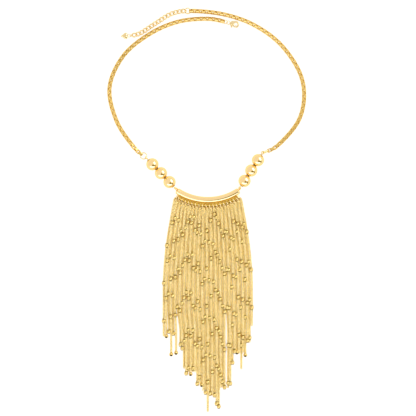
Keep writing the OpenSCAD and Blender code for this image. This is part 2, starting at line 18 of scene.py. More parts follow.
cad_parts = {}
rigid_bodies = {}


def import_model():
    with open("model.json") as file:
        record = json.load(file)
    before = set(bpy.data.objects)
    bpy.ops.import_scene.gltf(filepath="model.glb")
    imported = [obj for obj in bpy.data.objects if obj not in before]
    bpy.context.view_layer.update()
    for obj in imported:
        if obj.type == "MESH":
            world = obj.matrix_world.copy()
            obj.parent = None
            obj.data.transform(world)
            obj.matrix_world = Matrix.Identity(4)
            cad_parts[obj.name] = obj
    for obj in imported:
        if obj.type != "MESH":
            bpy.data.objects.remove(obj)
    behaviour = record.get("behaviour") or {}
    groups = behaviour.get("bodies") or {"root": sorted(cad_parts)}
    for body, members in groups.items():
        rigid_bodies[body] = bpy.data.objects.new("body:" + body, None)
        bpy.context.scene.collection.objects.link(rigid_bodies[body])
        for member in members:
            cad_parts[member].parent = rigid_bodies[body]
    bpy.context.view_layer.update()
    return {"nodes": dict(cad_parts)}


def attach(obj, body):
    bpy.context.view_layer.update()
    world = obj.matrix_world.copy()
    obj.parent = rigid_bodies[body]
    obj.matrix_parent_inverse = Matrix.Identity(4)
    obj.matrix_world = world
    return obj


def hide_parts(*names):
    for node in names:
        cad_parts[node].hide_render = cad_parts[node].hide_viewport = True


LOG = logging.getLogger("necklace")
MM = 0.001
BODY = "necklace"
# Edges sharper than this many degrees stay crisp
SHARP_DEG = 40.0
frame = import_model()


# ---------------------------------------------------------------- colours and nodes
def linear(hex_colour: str) -> tuple[float, float, float, float]:
    """Turns an sRGB hex colour into linear RGBA.

    Args:
        hex_colour: a hash and six hex digits.

    Returns:
        Linear red, green, blue and an alpha of 1.
    """
    values = [int(hex_colour[i:i + 2], 16) / 255 for i in (1, 3, 5)]
    curve = [v / 12.92 if v <= 0.04045 else ((v + 0.055) / 1.055) ** 2.4 for v in values]
    return tuple(curve + [1.0])


def add_node(tree: bpy.types.NodeTree, kind: str, settings: dict | None = None,
             links: dict | None = None) -> bpy.types.Node:
    """Adds one node with its settings and links.

    Args:
        tree: the node tree.
        kind: the node's class name.
        settings: properties by name; an input's value has the prefix "in:" and its name or number.
        links: by input name or number, the socket that feeds it, or a node for its first output.

    Returns:
        The new node.
    """
    node = tree.nodes.new(kind)
    for name, value in (settings or {}).items():
        if name.startswith("in:"):
            key = name[3:]
            node.inputs[int(key) if key.isdigit() else key].default_value = value
        else:
            setattr(node, name, value)
    for name, source in (links or {}).items():
        output = source if isinstance(source, bpy.types.NodeSocket) else source.outputs[0]
        tree.links.new(output, node.inputs[name])
    return node


def blank_material(name: str) -> bpy.types.Material:
    """Makes a material with an empty node tree.

    Args:
        name: the material's name.

    Returns:
        The material.
    """
    material = bpy.data.materials.new(name)
    material.use_nodes = True
    material.node_tree.nodes.clear()
    return material


# ---------------------------------------------------------------- finishes
@dataclass(frozen=True)
class GoldFinish:
    """Gold plate over brass; every metal surface of the necklace is one of these.

    The colour drifts from light to deep in soft clouds, and the roughness and a slight relief
    follow a finer grain. The rim tints what shows at a grazing angle. With metal at 0 the surface
    is so dull that nothing mirrors in it.
    """

    name: str
    light: str
    deep: str
    roughness: float
    roughness_spread: float
    cloud_mm: float
    grain_mm: float
    grain_height_mm: float
    rim: str = "#FFF0CC"
    metal: float = 1.0
    cloud_detail: float = 2.0
    grain_detail: float = 3.0
    grain_range: tuple = (0.35, 0.65)
    least_roughness: float = 0.02
    relief: float = 0.5

    def build(self) -> bpy.types.Material:
        """Makes the node material.

        Returns:
            The material.
        """
        material = blank_material(self.name)
        tree = material.node_tree
        place = add_node(tree, "ShaderNodeTexCoord").outputs["Object"]
        cloud, grain = (
            add_node(tree, "ShaderNodeTexNoise", {"in:Scale": 1 / (size * MM), "in:Detail": detail},
                     {"Vector": place})
            for size, detail in ((self.cloud_mm, self.cloud_detail),
                                 (self.grain_mm, self.grain_detail)))
        colour = add_node(tree, "ShaderNodeMix", {"data_type": "RGBA", "in:6": linear(self.light),
                                                  "in:7": linear(self.deep)}, {0: cloud})
        low = max(self.least_roughness, self.roughness - self.roughness_spread)
        rough = add_node(tree, "ShaderNodeMapRange",
                         {"in:From Min": self.grain_range[0], "in:From Max": self.grain_range[1],
                          "in:To Min": low, "in:To Max": self.roughness + self.roughness_spread},
                         {0: grain})
        bump = add_node(tree, "ShaderNodeBump", {"in:Strength": self.relief,
                                                 "in:Distance": self.grain_height_mm * MM},
                        {"Height": grain})
        shader = add_node(tree, "ShaderNodeBsdfPrincipled",
                          {"in:Metallic": self.metal, "in:Specular Tint": linear(self.rim)},
                          {"Base Color": colour.outputs[2], "Roughness": rough, "Normal": bump})
        add_node(tree, "ShaderNodeOutputMaterial", links={"Surface": shader})
        return material


@dataclass(frozen=True)
class FloorFinish:
    """Opal acrylic of a light table: an even white, lit a little from below, with a faint tooth."""

    name: str = "opal_acrylic_light_table"
    colour: str = "#6E6E6E"
    roughness: float = 0.9
    glow_colour: str = "#FFFAF0"
    glow: float = 0.98
    tooth_scale: float = 400.0
    tooth_strength: float = 0.2
    tooth_mm: float = 0.05

    def build(self) -> bpy.types.Material:
        """Makes the node material.

        Returns:
            The material.
        """
        material = blank_material(self.name)
        tree = material.node_tree
        place = add_node(tree, "ShaderNodeTexCoord").outputs["Object"]
        tooth = add_node(tree, "ShaderNodeTexNoise", {"in:Scale": self.tooth_scale},
                         {"Vector": place})
        bump = add_node(tree, "ShaderNodeBump", {"in:Strength": self.tooth_strength,
                                                 "in:Distance": self.tooth_mm * MM},
                        {"Height": tooth})
        shader = add_node(tree, "ShaderNodeBsdfPrincipled",
                          {"in:Base Color": linear(self.colour), "in:Roughness": self.roughness,
                           "in:Emission Color": linear(self.glow_colour),
                           "in:Emission Strength": self.glow}, {"Normal": bump})
        add_node(tree, "ShaderNodeOutputMaterial", links={"Surface": shader})
        return material


class Gold(Enum):
    """The finishes that a piece may take.

    After the two colours come roughness and its spread, then in millimetres the clouds, the grain
    and the grain's height, and where they aren't the usual ones the rim's tint and the metal.
    """

    # Mirror polish: clean, sharp reflections with a faint waviness from the buffing wheel.
    MIRROR = GoldFinish("gold_plated_brass_mirror_polished", "#FBDE9C", "#F7D48C", 0.1, 0.03,
                        9.0, 1.6, 0.006)
    # Barrel-polished wire and links: softer highlights and slightly deeper gold.
    WIRE = GoldFinish("gold_plated_brass_barrel_polished", "#FBE7A0", "#F4DB8B", 0.2, 0.06,
                      5.0, 0.6, 0.01, "#F0CC74")
    # Box chain: machine-made links with a satin of fine tumbling marks, a shade deeper.
    BOX = GoldFinish("gold_plated_brass_tumbled", "#E7C977", "#DBB55D", 0.28, 0.06,
                     6.0, 0.7, 0.012)
    # Pale plated findings: lighter plate, as on the extender, clasp and rings.
    PALE = GoldFinish("pale_gold_plated_brass_polished", "#F2DCA0", "#E8CC88", 0.16, 0.04,
                      6.0, 0.8, 0.008)
    # Fringe beads: mirror polished like the balls, but a deeper gold, olive where it is shaded.
    BEAD = GoldFinish("gold_plated_brass_bead", "#EDD284", "#D9B862", 0.12, 0.03,
                      3.0, 0.8, 0.006)
    # Painted shade: dull brass with no metal, on the strip in the gap under the tube; shaded there,
    # it reads as a dull olive line.
    TARNISH = GoldFinish("tarnished_gold_plated_brass", "#FAE270", "#EACA56", 0.7, 0.1,
                         3.0, 0.5, 0.01, "#F0CC70", 0.0)
    # Rail and hanging rings: plated wire in a deeper, olive gold that paints the shade they lie in
    # under the tube.
    RAIL = GoldFinish("dulled_gold_plated_wire", "#E8C45A", "#D0A840", 0.26, 0.08,
                      4.0, 0.6, 0.01, "#F4D27C")
    # Painted shade: dark olive with no metal, on the collars round the holes and on the strip under
    # the rail, for the shade between balls, round beads and below the rail.
    COLLAR = GoldFinish("dulled_brass_collar", "#967C26", "#765E18", 0.7, 0.1,
                        2.0, 0.4, 0.01, "#6A5418", 0.0)
    # Inside a bead's drilled hole: painted shade, a very dark dull brass that reads as a dark dot.
    BORE = GoldFinish("oxidised_brass_bore", "#3A2A08", "#241804", 0.8, 0.1,
                      2.0, 0.4, 0.01, "#6A5418", 0.0)


class Palette:
    """Builds each finish once and hands it out."""

    def __init__(self) -> None:
        """Starts with no materials made."""
        self._made: dict[Gold, bpy.types.Material] = {}

    def get(self, gold: Gold) -> bpy.types.Material:
        """Hands out a finish, made on first use.

        Args:
            gold: the finish.

        Returns:
            Its material.
        """
        if gold not in self._made:
            self._made[gold] = gold.value.build()
        return self._made[gold]


# ---------------------------------------------------------------- meshes
Shell = tuple[np.ndarray, list[tuple[int, ...]]]


def skin(rings: int, sides: int, closed: bool = False) -> list[tuple[int, ...]]:
    """Returns the faces between rings of points.

    Args:
        rings: how many rings follow one another.
        sides: points on each ring.
        closed: whether the last ring joins up with the first.

    Returns:
        Faces as point numbers.
    """
    return [(i * sides + j, i * sides + (j + 1) % sides,
             (i + 1) % rings * sides + (j + 1) % sides, (i + 1) % rings * sides + j)
            for i in range(rings if closed else rings - 1) for j in range(sides)]


def fans(rings: int, sides: int) -> list[tuple[int, ...]]:
    """Returns the faces that close the first and the last ring.

    Args:
        rings: how many rings follow one another.
        sides: points on each ring.

    Returns:
        Faces that meet in two middle points, numbered after all the rings.
    """
    middle, last = rings * sides, (rings - 1) * sides
    faces = []
    for j in range(sides):
        k = (j + 1) % sides
        faces += [(middle, k, j), (middle + 1, last + j, last + k)]
    return faces


def join_shells(shells: list[Shell]) -> Shell:
    """Puts several closed shells in one vertex and face list.

    Args:
        shells: vertex arrays in millimetres with their faces.

    Returns:
        One shell that holds them all.
    """
    verts, faces, base = [], [], 0
    for v, f in shells:
        verts.append(v)
        faces += [tuple(i + base for i in face) for face in f]
        base += len(v)
    return np.vstack(verts), faces


def circle(radius: float, steps: int, height: float = 0.0) -> np.ndarray:
    """Returns points round a level circle about the Z axis."""
    turn = np.linspace(0, 2 * math.pi, steps, endpoint=False)
    return np.stack([radius * np.cos(turn), radius * np.sin(turn), np.full(steps, height)], 1)


def sweep(path: np.ndarray, radii: np.ndarray | float, sides: int, closed: bool = False) -> Shell:
    """Sweeps a circle along a path that never runs straight up.

    Args:
        path: points in millimetres.
        radii: one radius for each point, or one for all.
        sides: points round the circle.
        closed: whether the path joins up with its start.

    Returns:
        A closed shell; open ends are closed with a middle point.
    """
    n = len(path)
    if closed:
        tangent = np.roll(path, -1, 0) - np.roll(path, 1, 0)
    else:
        tangent = np.gradient(path, axis=0)
    tangent /= np.linalg.norm(tangent, axis=1)[:, None]
    side = np.cross(tangent, np.array((0.0, 0.0, 1.0)))
    side /= np.linalg.norm(side, axis=1)[:, None]
    top = np.cross(side, tangent)
    turn = np.linspace(0, 2 * math.pi, sides, endpoint=False)[None, :, None]
    ring = np.cos(turn) * side[:, None, :] + np.sin(turn) * top[:, None, :]
    verts = (path[:, None, :] + ring * np.full(n, radii)[:, None, None]).reshape(-1, 3)
    faces = skin(n, sides, closed)
    if not closed:
        verts = np.vstack([verts, path[0], path[-1]])
        faces += fans(n, sides)
    return verts, faces


def lathe(profile: list[tuple[float, float]], sides: int) -> Shell:
    """Turns a closed profile about the X axis.

    Args:
        profile: (x, radius) points of a closed outline that stays clear of the axis.
        sides: points round the axis.

    Returns:
        A closed ring-shaped shell.
    """
    turn = np.linspace(0, 2 * math.pi, sides, endpoint=False)
    verts = np.array([(x, r * math.cos(t), r * math.sin(t)) for x, r in profile for t in turn])
    return verts, skin(len(profile), sides, True)


# At a drilled ball's holes, as shares of its radius: the collar's soft edge, the rim's width and
# depth without a collar, and the widest opening
COLLAR_SOFT = 0.02
RIM_WIDTH = 0.04
RIM_DEPTH = 0.03
WIDEST = 0.95
# How far outside the hole or collar a face's corners may lie and still count, in millimetres
BORE_SPARE = 0.01


def drilled_ball(diameter: float, bore: float, arc_points: int, sides: int,
                 collar: float = 0.0) -> Shell:
    """Makes a ball with a hole along X whose rims are slightly rounded.

    Args:
        diameter: the ball's diameter in millimetres.
        bore: the hole's diameter.
        arc_points: points from rim to rim.
        sides: points round the hole.
        collar: the diameter of the collar crimped round each end of the hole, or 0 for none.

    Returns:
        A closed shell.
    """
    r, h, c = diameter / 2, bore / 2, collar / 2
    soft = COLLAR_SOFT * r
    start = math.asin(min(WIDEST, max(c + soft, h + RIM_WIDTH * r) / r))
    profile = [(-r * math.cos(t), r * math.sin(t))
               for t in np.linspace(start, math.pi - start, arc_points)]
    if collar:
        ends = [(profile[-1][0], c), (r - soft, c), (r, c - soft), (r, h)]
    else:
        ends = [(profile[-1][0] - RIM_DEPTH * r, h)]
    return lathe(profile + ends + [(-x, y) for x, y in reversed(ends)], sides)


def bore_faces(ball: Shell, bore: float, collar: float) -> list[int]:
    """Finds the faces of a drilled ball that belong to its hole and collars.

    Args:
        ball: the ball's shell.
        bore: the hole's diameter in millimetres.
        collar: the collars' diameter, or 0 for none.

    Returns:
        The faces' numbers.
    """
    limit = max(collar, bore) / 2 + BORE_SPARE
    verts, faces = ball
    return [i for i, face in enumerate(faces)
            if all(math.hypot(*verts[v][1:]) < limit for v in face)]


def placed(shell: Shell, at: Matrix) -> Shell:
    """Moves a shell by a matrix in millimetres."""
    m = np.array(at)
    return shell[0] @ m[:3, :3].T + m[:3, 3], shell[1]


def stand(x: float, y: float, z: float, heading: float, pitch: float = 0,
          roll: float = 0) -> Matrix:
    """Makes the matrix of a place: roll about X, pitch about Y, then heading about Z."""
    turn = Euler([math.radians(a) for a in (roll, pitch, heading)], "XYZ").to_matrix().to_4x4()
    return Matrix.Translation((x, y, z)) @ turn


def heading_of(step: np.ndarray) -> float:
    """Returns the direction of a step on the floor, in degrees."""
    return math.degrees(math.atan2(step[1], step[0]))


def add_object(name: str, data: bpy.types.ID) -> bpy.types.Object:
    """Adds an object to the scene, at the origin.

    Args:
        name: the object's name.
        data: its mesh, camera or light.

    Returns:
        The object.
    """
    made = bpy.data.objects.new(name, data)
    bpy.context.scene.collection.objects.link(made)
    return made


def modified_mesh(made: bpy.types.Object) -> bpy.types.Mesh:
    """Works out an object's mesh with its modifiers.

    Args:
        made: the object.

    Returns:
        The mesh as the modifiers leave it.
    """
    bpy.context.view_layer.update()
    graph = bpy.context.evaluated_depsgraph_get()
    return bpy.data.meshes.new_from_object(made.evaluated_get(graph))


def mesh_object(name: str, shell: Shell, material: bpy.types.Material,
                smooth_deg: float = SHARP_DEG) -> bpy.types.Object:
    """Makes a mesh object in metres from a shell in millimetres.

    Args:
        name: the object's name.
        shell: vertices in millimetres, and faces.
        material: its finish.
        smooth_deg: edges sharper than this stay crisp.

    Returns:
        The object, at the origin.
    """
    mesh = bpy.data.meshes.new(name)
    mesh.from_pydata((shell[0] * MM).tolist(), [], shell[1])
    bm = bmesh.new()
    bm.from_mesh(mesh)
    bmesh.ops.recalc_face_normals(bm, faces=bm.faces)
    limit = math.radians(smooth_deg)
    for edge in bm.edges:
        edge.smooth = len(edge.link_faces) == 2 and edge.calc_face_angle(0) < limit
    for face in bm.faces:
        face.smooth = True
    bm.to_mesh(mesh)
    bm.free()
    mesh.materials.append(material)
    return add_object(name, mesh)


def settle(piece: bpy.types.Object, slot: str, body: str, *nodes: str) -> None:
    """Puts a finished piece on its body and hides the CAD nodes that it stands for.

    Args:
        piece: the object.
        slot: not used.
        body: the CAD body that it rides on.
        nodes: the CAD nodes that it replaces.
    """
    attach(piece, body)
    if nodes:
        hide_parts(*nodes)
    LOG.info("%s: %d faces", piece.name, len(piece.data.polygons))


# ---------------------------------------------------------------- places
class Line:
    """A line through points, read by the length along it."""

    # Half the length over which the direction is taken, in millimetres
    REACH = 0.5

    def __init__(self, points: np.ndarray) -> None:
        """Measures the line.

        Args:
            points: its points in millimetres.
        """
        self.points = points
        steps = np.linalg.norm(np.diff(points, axis=0), axis=1)
        self.run = np.concatenate([[0], np.cumsum(steps)])
        self.length = float(self.run[-1])

    def at(self, s: float) -> np.ndarray:
        """Returns the point at a length along the line."""
        return np.array([np.interp(s, self.run, axis) for axis in self.points.T])

    def heading(self, s: float) -> float:
        """Returns the line's direction on the floor at a length, in degrees."""
        return heading_of(self.at(s + self.REACH) - self.at(s - self.REACH))


class Route(Line):
    """A smooth curve through chosen points."""

    STEPS = 12

    def __init__(self, points: list[tuple[float, float]]) -> None:
        """Samples the curve.

        Args:
            points: the chosen points in millimetres.
        """
        p = [np.array(q, float) for q in points]
        dense = []
        for i in range(len(p) - 1):
            a, b, c, d = p[max(i - 1, 0)], p[i], p[i + 1], p[min(i + 2, len(p) - 1)]
            for j in range(self.STEPS):
                t = j / self.STEPS
                dense.append(0.5 * (2 * b + (c - a) * t + (2 * a - 5 * b + 4 * c - d) * t * t
                                    + (3 * b - a - 3 * c + d) * t ** 3))
        super().__init__(np.array(dense + [p[-1]]))


def unit(angle: float) -> np.ndarray:
    """Returns the unit vector at an angle in degrees."""
    return np.array([math.cos(math.radians(angle)), math.sin(math.radians(angle))])


@dataclass(frozen=True)
class Sizes:
    """The necklace's main sizes in millimetres, those of the solids.

    Only part_top and part_len differ: fine chains can part lower down than the solids' strips.
    """

    bar_d: float = 4.8
    bar_chord: float = 47.5
    bar_sag: float = 7.0
    bar_cap: float = 0.8
    rail_d: float = 1.8
    post_d: float = 2.1
    rail_w: float = 50.0
    loop_lean: float = 30.0
    ring_count: int = 18
    ring_wire: float = 0.6
    ring_room: float = 1.05
    ball_d: float = 9.5
    ball_count: int = 3
    ball_bore: float = 1.6
    pin_wire: float = 0.7
    eye_in: float = 1.5
    pin_neck: float = 1.1
    link_len: float = 3.6
    link_w: float = 3.0
    link_t: float = 0.5
    jump_wire: float = 0.8
    jump_d: float = 5.8
    jump_roll_left: float = 10.0
    jump_roll_right: float = 80.0
    clasp_len: float = 10.2
    clasp_w: float = 5.2
    clasp_t: float = 2.4
    hook_w: float = 1.15
    tail_d: float = 3.2
    tail_hole: float = 2.2
    clasp_ring_wire: float = 0.5
    clasp_ring_d: float = 3.9
    curb_count: int = 15
    curb_len: float = 4.9
    curb_w: float = 3.8
    curb_wire: float = 0.8
    ext_ring_wire: float = 0.8
    ext_ring_d: float = 5.4
    ext_ring_roll: float = 30.0
    heart_len: float = 5.4
    heart_w: float = 5.0
    heart_t: float = 1.8
    heart_stem: float = 0.3
    heart_wire: float = 0.45
    heart_in: float = 1.95
    heart_ring_roll: float = 55.0
    bead_d: float = 2.9
    bead_gap: float = 29.6
    fringe_w: float = 69.0
    fan_len: float = 70.0
    part_top: float = 82.0
    part_len: float = 22.0
    layer_gap: float = 0.15
    strand_t: float = 1.3
    drop_len: float = 7.0
    link_gap: float = 0.2
    side_gap: float = 0.22
    play: float = 0.15
    ball_gap: float = 0.15


class Strand(NamedTuple):
    """One strand of the fringe.

    Its tip lies at a share of half the fringe's width. The first bead's distance and the bare
    chain after the last bead are shares of the distance between beads.
    """

    tip: float
    beads: int
    first: float
    tail: float

    @property
    def end(self) -> float:
        """Returns where the strand ends, as a share of the distance between beads."""
        return self.first + self.beads - 1 + self.tail


# The strands from left to right
STRANDS = [Strand(*row) for row in (
    (-1.00, 3, 1.20, 0.42), (-0.94, 4, 0.60, 0), (-0.88, 4, 0.48, 0), (-0.83, 4, 1.08, 0),
    (-0.78, 4, 0.53, 0), (-0.72, 4, 1.04, 0), (-0.62, 4, 0.82, 0), (-0.58, 4, 0.92, 0),
    (-0.54, 4, 0.73, 0.77), (-0.49, 5, 0.58, 0), (-0.44, 5, 0.44, 0.13), (-0.39, 5, 0.60, 0),
    (-0.34, 5, 0.45, 0.12), (-0.29, 4, 0.80, 0.76), (-0.24, 5, 0.86, 0), (-0.19, 5, 0.68, 0.20),
    (-0.14, 5, 0.89, 0), (-0.10, 4, 1.22, 0.85), (-0.05, 5, 1.09, 0), (0.00, 5, 0.81, 0.83),
    (0.05, 5, 1.12, 0), (0.10, 5, 0.54, 0.66), (0.15, 5, 1.16, 0), (0.20, 6, 0.38, 0),
    (0.25, 6, 0.46, 0), (0.29, 5, 0.62, 0.35), (0.33, 5, 0.80, 0.18), (0.38, 5, 0.95, 0),
    (0.46, 5, 0.84, 0.14), (0.51, 5, 0.85, 0), (0.56, 4, 1.30, 0), (0.61, 4, 1.00, 0),
    (0.66, 4, 1.03, 0), (0.71, 4, 0.57, 0.52), (0.76, 4, 0.84, 0.68), (0.80, 4, 0.63, 0.45),
    (0.85, 4, 1.10, 0), (0.90, 4, 0.72, 0), (0.95, 4, 0.64, 0.15), (1.00, 3, 0.84, 0.52))]

# Strands, counted from 0 at the left, whose last bead is turned so that its open hole shows
OPEN_ENDS = {1, 3, 5, 11, 16, 32, 36}


class Side(Enum):
    """The two halves of the necklace."""

    LEFT = -1
    RIGHT = 1


# Points of each half's route after its balls
ROUTES = {
    Side.LEFT: [(-58, 41.5), (-71.5, 62), (-77, 88), (-66.5, 112.5), (-46.5, 129.5),
                (-24, 139.5), (-0.5, 142), (16, 139), (26, 136)],
    Side.RIGHT: [(54.5, 42.5), (70.5, 61), (75.5, 81), (71.5, 101), (56.5, 122.5),
                 (35.5, 137.5), (12, 145.6), (-13.5, 148.2), (-28, 146.2), (-41.5, 138.2),
                 (-55, 130), (-69, 128.6)]}

# Direction of each half's straight run of balls, in degrees
HEADINGS = {Side.LEFT: 134.0, Side.RIGHT: 57.0}


class Layout:
    """Where everything lies, worked out from the sizes in the same way as in the solids."""

    # How deep a loop is sunk into the bar's end, and the ball wire's bend before its far eye
    LOOP_SINK = 0.7
    FAR_BEND = 0.8
    # A twisted curb link's rise as a share of its width between the middles of the wire
    CURB_RISE = 0.187

    def __init__(self, z: Sizes) -> None:
        """Works out the bar's arc, the two routes and the shift to the origin.

        Args:
            z: the sizes.
        """
        self.z = z
        self._bar_and_fringe()
        self._balls_and_jump_rings()
        self.loop, self.route, self.links = {}, {}, {}
        lean = self.arc_a + z.loop_lean
        for side in Side:
            end = np.array([side.value * z.bar_chord / 2, z.bar_sag])
            self.loop[side] = end + self.loop_s * unit(lean if side is Side.RIGHT else 180 - lean)
            eye = self.loop[side] + self.far_eye_s * unit(HEADINGS[side])
            self.route[side] = Route([tuple(eye)] + ROUTES[side])
        self._clasp_and_extender()
        left, right = (self.route[side].points for side in Side)
        x_low, x_high = left[:, 0].min() - self.chain_z, right[:, 0].max() + self.chain_z
        y_high = right[:, 1].max() + self.chain_z
        self.shift = np.array([-(x_low + x_high) / 2, (self.fringe_end - y_high) / 2, 0])

    def _bar_and_fringe(self) -> None:
        """Works out the bar's arc, the rail with its rings, and where the strands begin and end."""
        z = self.z
        self.bar_r = self.bar_z = z.bar_d / 2
        self.arc_r = (z.bar_chord ** 2 / 4 + z.bar_sag ** 2) / (2 * z.bar_sag)
        self.arc_a = math.degrees(math.asin(z.bar_chord / 2 / self.arc_r))
        self.rail_r = self.arc_r + self.bar_r + z.ring_wire + 2 * z.play + z.rail_d / 2
        self.rail_a = math.degrees(math.asin((z.rail_w - z.post_d) / 2 / self.rail_r))
        self.ring_in = z.rail_d + z.play + z.ring_room
        self.ring_r = self.rail_r - z.rail_d / 2 - z.play + self.ring_in / 2
        from_post = z.post_d / 2 + z.ring_wire / 2 + 2 * z.play
        self.ring_a = self.rail_a - math.degrees(math.asin(from_post / self.rail_r))
        self.ring_step = 2 * self.ring_a / (z.ring_count - 1)
        self.strand_step = self.ring_step / 2
        self.head_d = z.ring_room - 2 * z.play
        self.head_r = self.rail_r + z.rail_d / 2 + z.ring_room / 2
        self.head_a = len(STRANDS) * self.strand_step / 2
        self.neck_r = self.head_r + z.ring_room / 2 + z.ring_wire + 2 * z.play
        self.low_z = z.bead_d / 2
        self.high_z = self.low_z + z.bead_d / 2 + z.layer_gap + z.strand_t / 2
        self.fringe_end = z.bead_gap * max(strand.end for strand in STRANDS)

    def _balls_and_jump_rings(self) -> None:
        """Works out the straight run from the bar's loop to the first link of the chain."""
        z = self.z
        self.eye_mid = (z.eye_in + z.pin_wire) / 2
        loop_out = z.eye_in / 2 + z.pin_wire
        self.loop_s = z.bar_cap + loop_out - self.LOOP_SINK
        self.ball_z = z.ball_d / 2
        slope_len = z.eye_in - z.link_gap + loop_out + z.pin_neck
        rise = self.ball_z - self.bar_z
        self.slope_run = math.sqrt(slope_len ** 2 - rise ** 2)
        self.slope_a = math.degrees(math.asin(rise / slope_len))
        self.ball_step = z.ball_d + z.ball_gap
        bend_s = self.slope_run + z.ball_count * self.ball_step - z.ball_gap + z.pin_wire / 2
        self.far_eye_s = bend_s + self.FAR_BEND + self.eye_mid
        self.far_z = z.jump_d / 2
        self.link_b = z.link_w - 2 * z.link_t - 2 * z.side_gap
        self.link_step = z.link_len - 2 * z.link_t - z.link_gap
        self.chain_z = math.hypot(z.link_w, self.link_b) / 2
        jump_mid = (z.jump_d - z.jump_wire) / 2
        jump_s = self.eye_mid - z.pin_wire / 2 - z.link_gap - z.jump_wire / 2 + jump_mid
        self.chain_s = jump_s + self.hold(jump_mid, z.jump_wire) + (z.link_len - z.link_t) / 2

    def _clasp_and_extender(self) -> None:
        """Works out how many links each half takes and where the pieces after them sit."""
        z = self.z
        ring_mid = (z.clasp_ring_d - z.clasp_ring_wire) / 2
        tail_out = ring_mid - z.clasp_ring_wire / 2 - (z.tail_d - z.tail_hole) / 4 - z.link_gap
        tail_s = self.hold(ring_mid, z.clasp_ring_wire) + tail_out + (z.tail_d + z.tail_hole) / 4
        self.clasp_s = self._fit_links(Side.LEFT, tail_s + z.clasp_len - z.tail_d / 2) + tail_s
        curb_half = (z.curb_len - z.curb_wire) / 2
        self.curb_step = z.curb_len - 2 * z.curb_wire - z.link_gap
        self.curb_z = (z.curb_w - z.curb_wire) * self.CURB_RISE + z.curb_wire / 2
        ext_mid = (z.ext_ring_d - z.ext_ring_wire) / 2
        at_curb = ext_mid - z.ext_ring_wire / 2 - z.curb_wire / 2 - z.link_gap
        to_curb = self.hold(ext_mid, z.ext_ring_wire) + at_curb + curb_half
        self.ext_ring_z = ext_mid * math.sin(math.radians(z.ext_ring_roll)) + z.ext_ring_wire / 2
        heart_mid = (z.heart_in + z.heart_wire) / 2
        at_heart_curb = heart_mid - z.heart_wire / 2 - z.curb_wire / 2 - z.link_gap
        at_loop = heart_mid - z.heart_wire - z.link_gap
        to_heart = ((z.curb_count - 1) * self.curb_step + curb_half + at_heart_curb + at_loop
                    + heart_mid)
        heart = z.heart_in / 2 + z.heart_stem + z.heart_len
        self.curb_s = self._fit_links(Side.RIGHT, to_curb + to_heart + heart) + to_curb
        self.heart_s = self.curb_s + to_heart
        self.heart_ring_z = (heart_mid * math.sin(math.radians(z.heart_ring_roll))
                             + z.heart_wire / 2)
        self.right_hand = 1 if self.links[Side.RIGHT] % 2 else -1

    def _fit_links(self, side: Side, after: float) -> float:
        """Works out how many links a half takes.

        Args:
            side: the half.
            after: the length that the pieces after the chain take.

        Returns:
            The length along the route at which the last link ends.
        """
        half = (self.z.link_len - self.z.link_t) / 2
        room = self.route[side].length - self.chain_s - half - after
        self.links[side] = math.floor(room / self.link_step) + 1
        return self.chain_s + (self.links[side] - 1) * self.link_step + half

    def hold(self, mid: float, wire: float) -> float:
        """Returns how far from a ring's middle the end of a box link that it holds lies."""
        inside = math.sqrt(mid ** 2 - self.link_b ** 2 / 4)
        return inside - wire / 2 - self.z.link_t / 2 - self.z.link_gap

    def along(self, side: Side, s: float, height: float, roll: float = 0) -> Matrix:
        """Returns the place at a length along a half's route, at a height and with a roll."""
        x, y = self.route[side].at(s) + self.shift[:2]
        return stand(x, y, height, self.route[side].heading(s), 0, roll)

    def on_arc(self, radius: float, angle: float) -> np.ndarray:
        """Returns a point on a circle about the middle of the bar's arc, at the bar's height."""
        x, y = radius * unit(angle - 90)
        return np.array([x, self.arc_r + y, self.bar_z]) + self.shift

    def from_loop(self, side: Side, s: float, height: float, pitch: float = 0,
                  roll: float = 0) -> Matrix:
        """Returns the place at a distance from the bar's loop along the straight run of balls."""
        x, y = self.loop[side] + s * unit(HEADINGS[side]) + self.shift[:2]
        return stand(x, y, height, HEADINGS[side], pitch, roll)


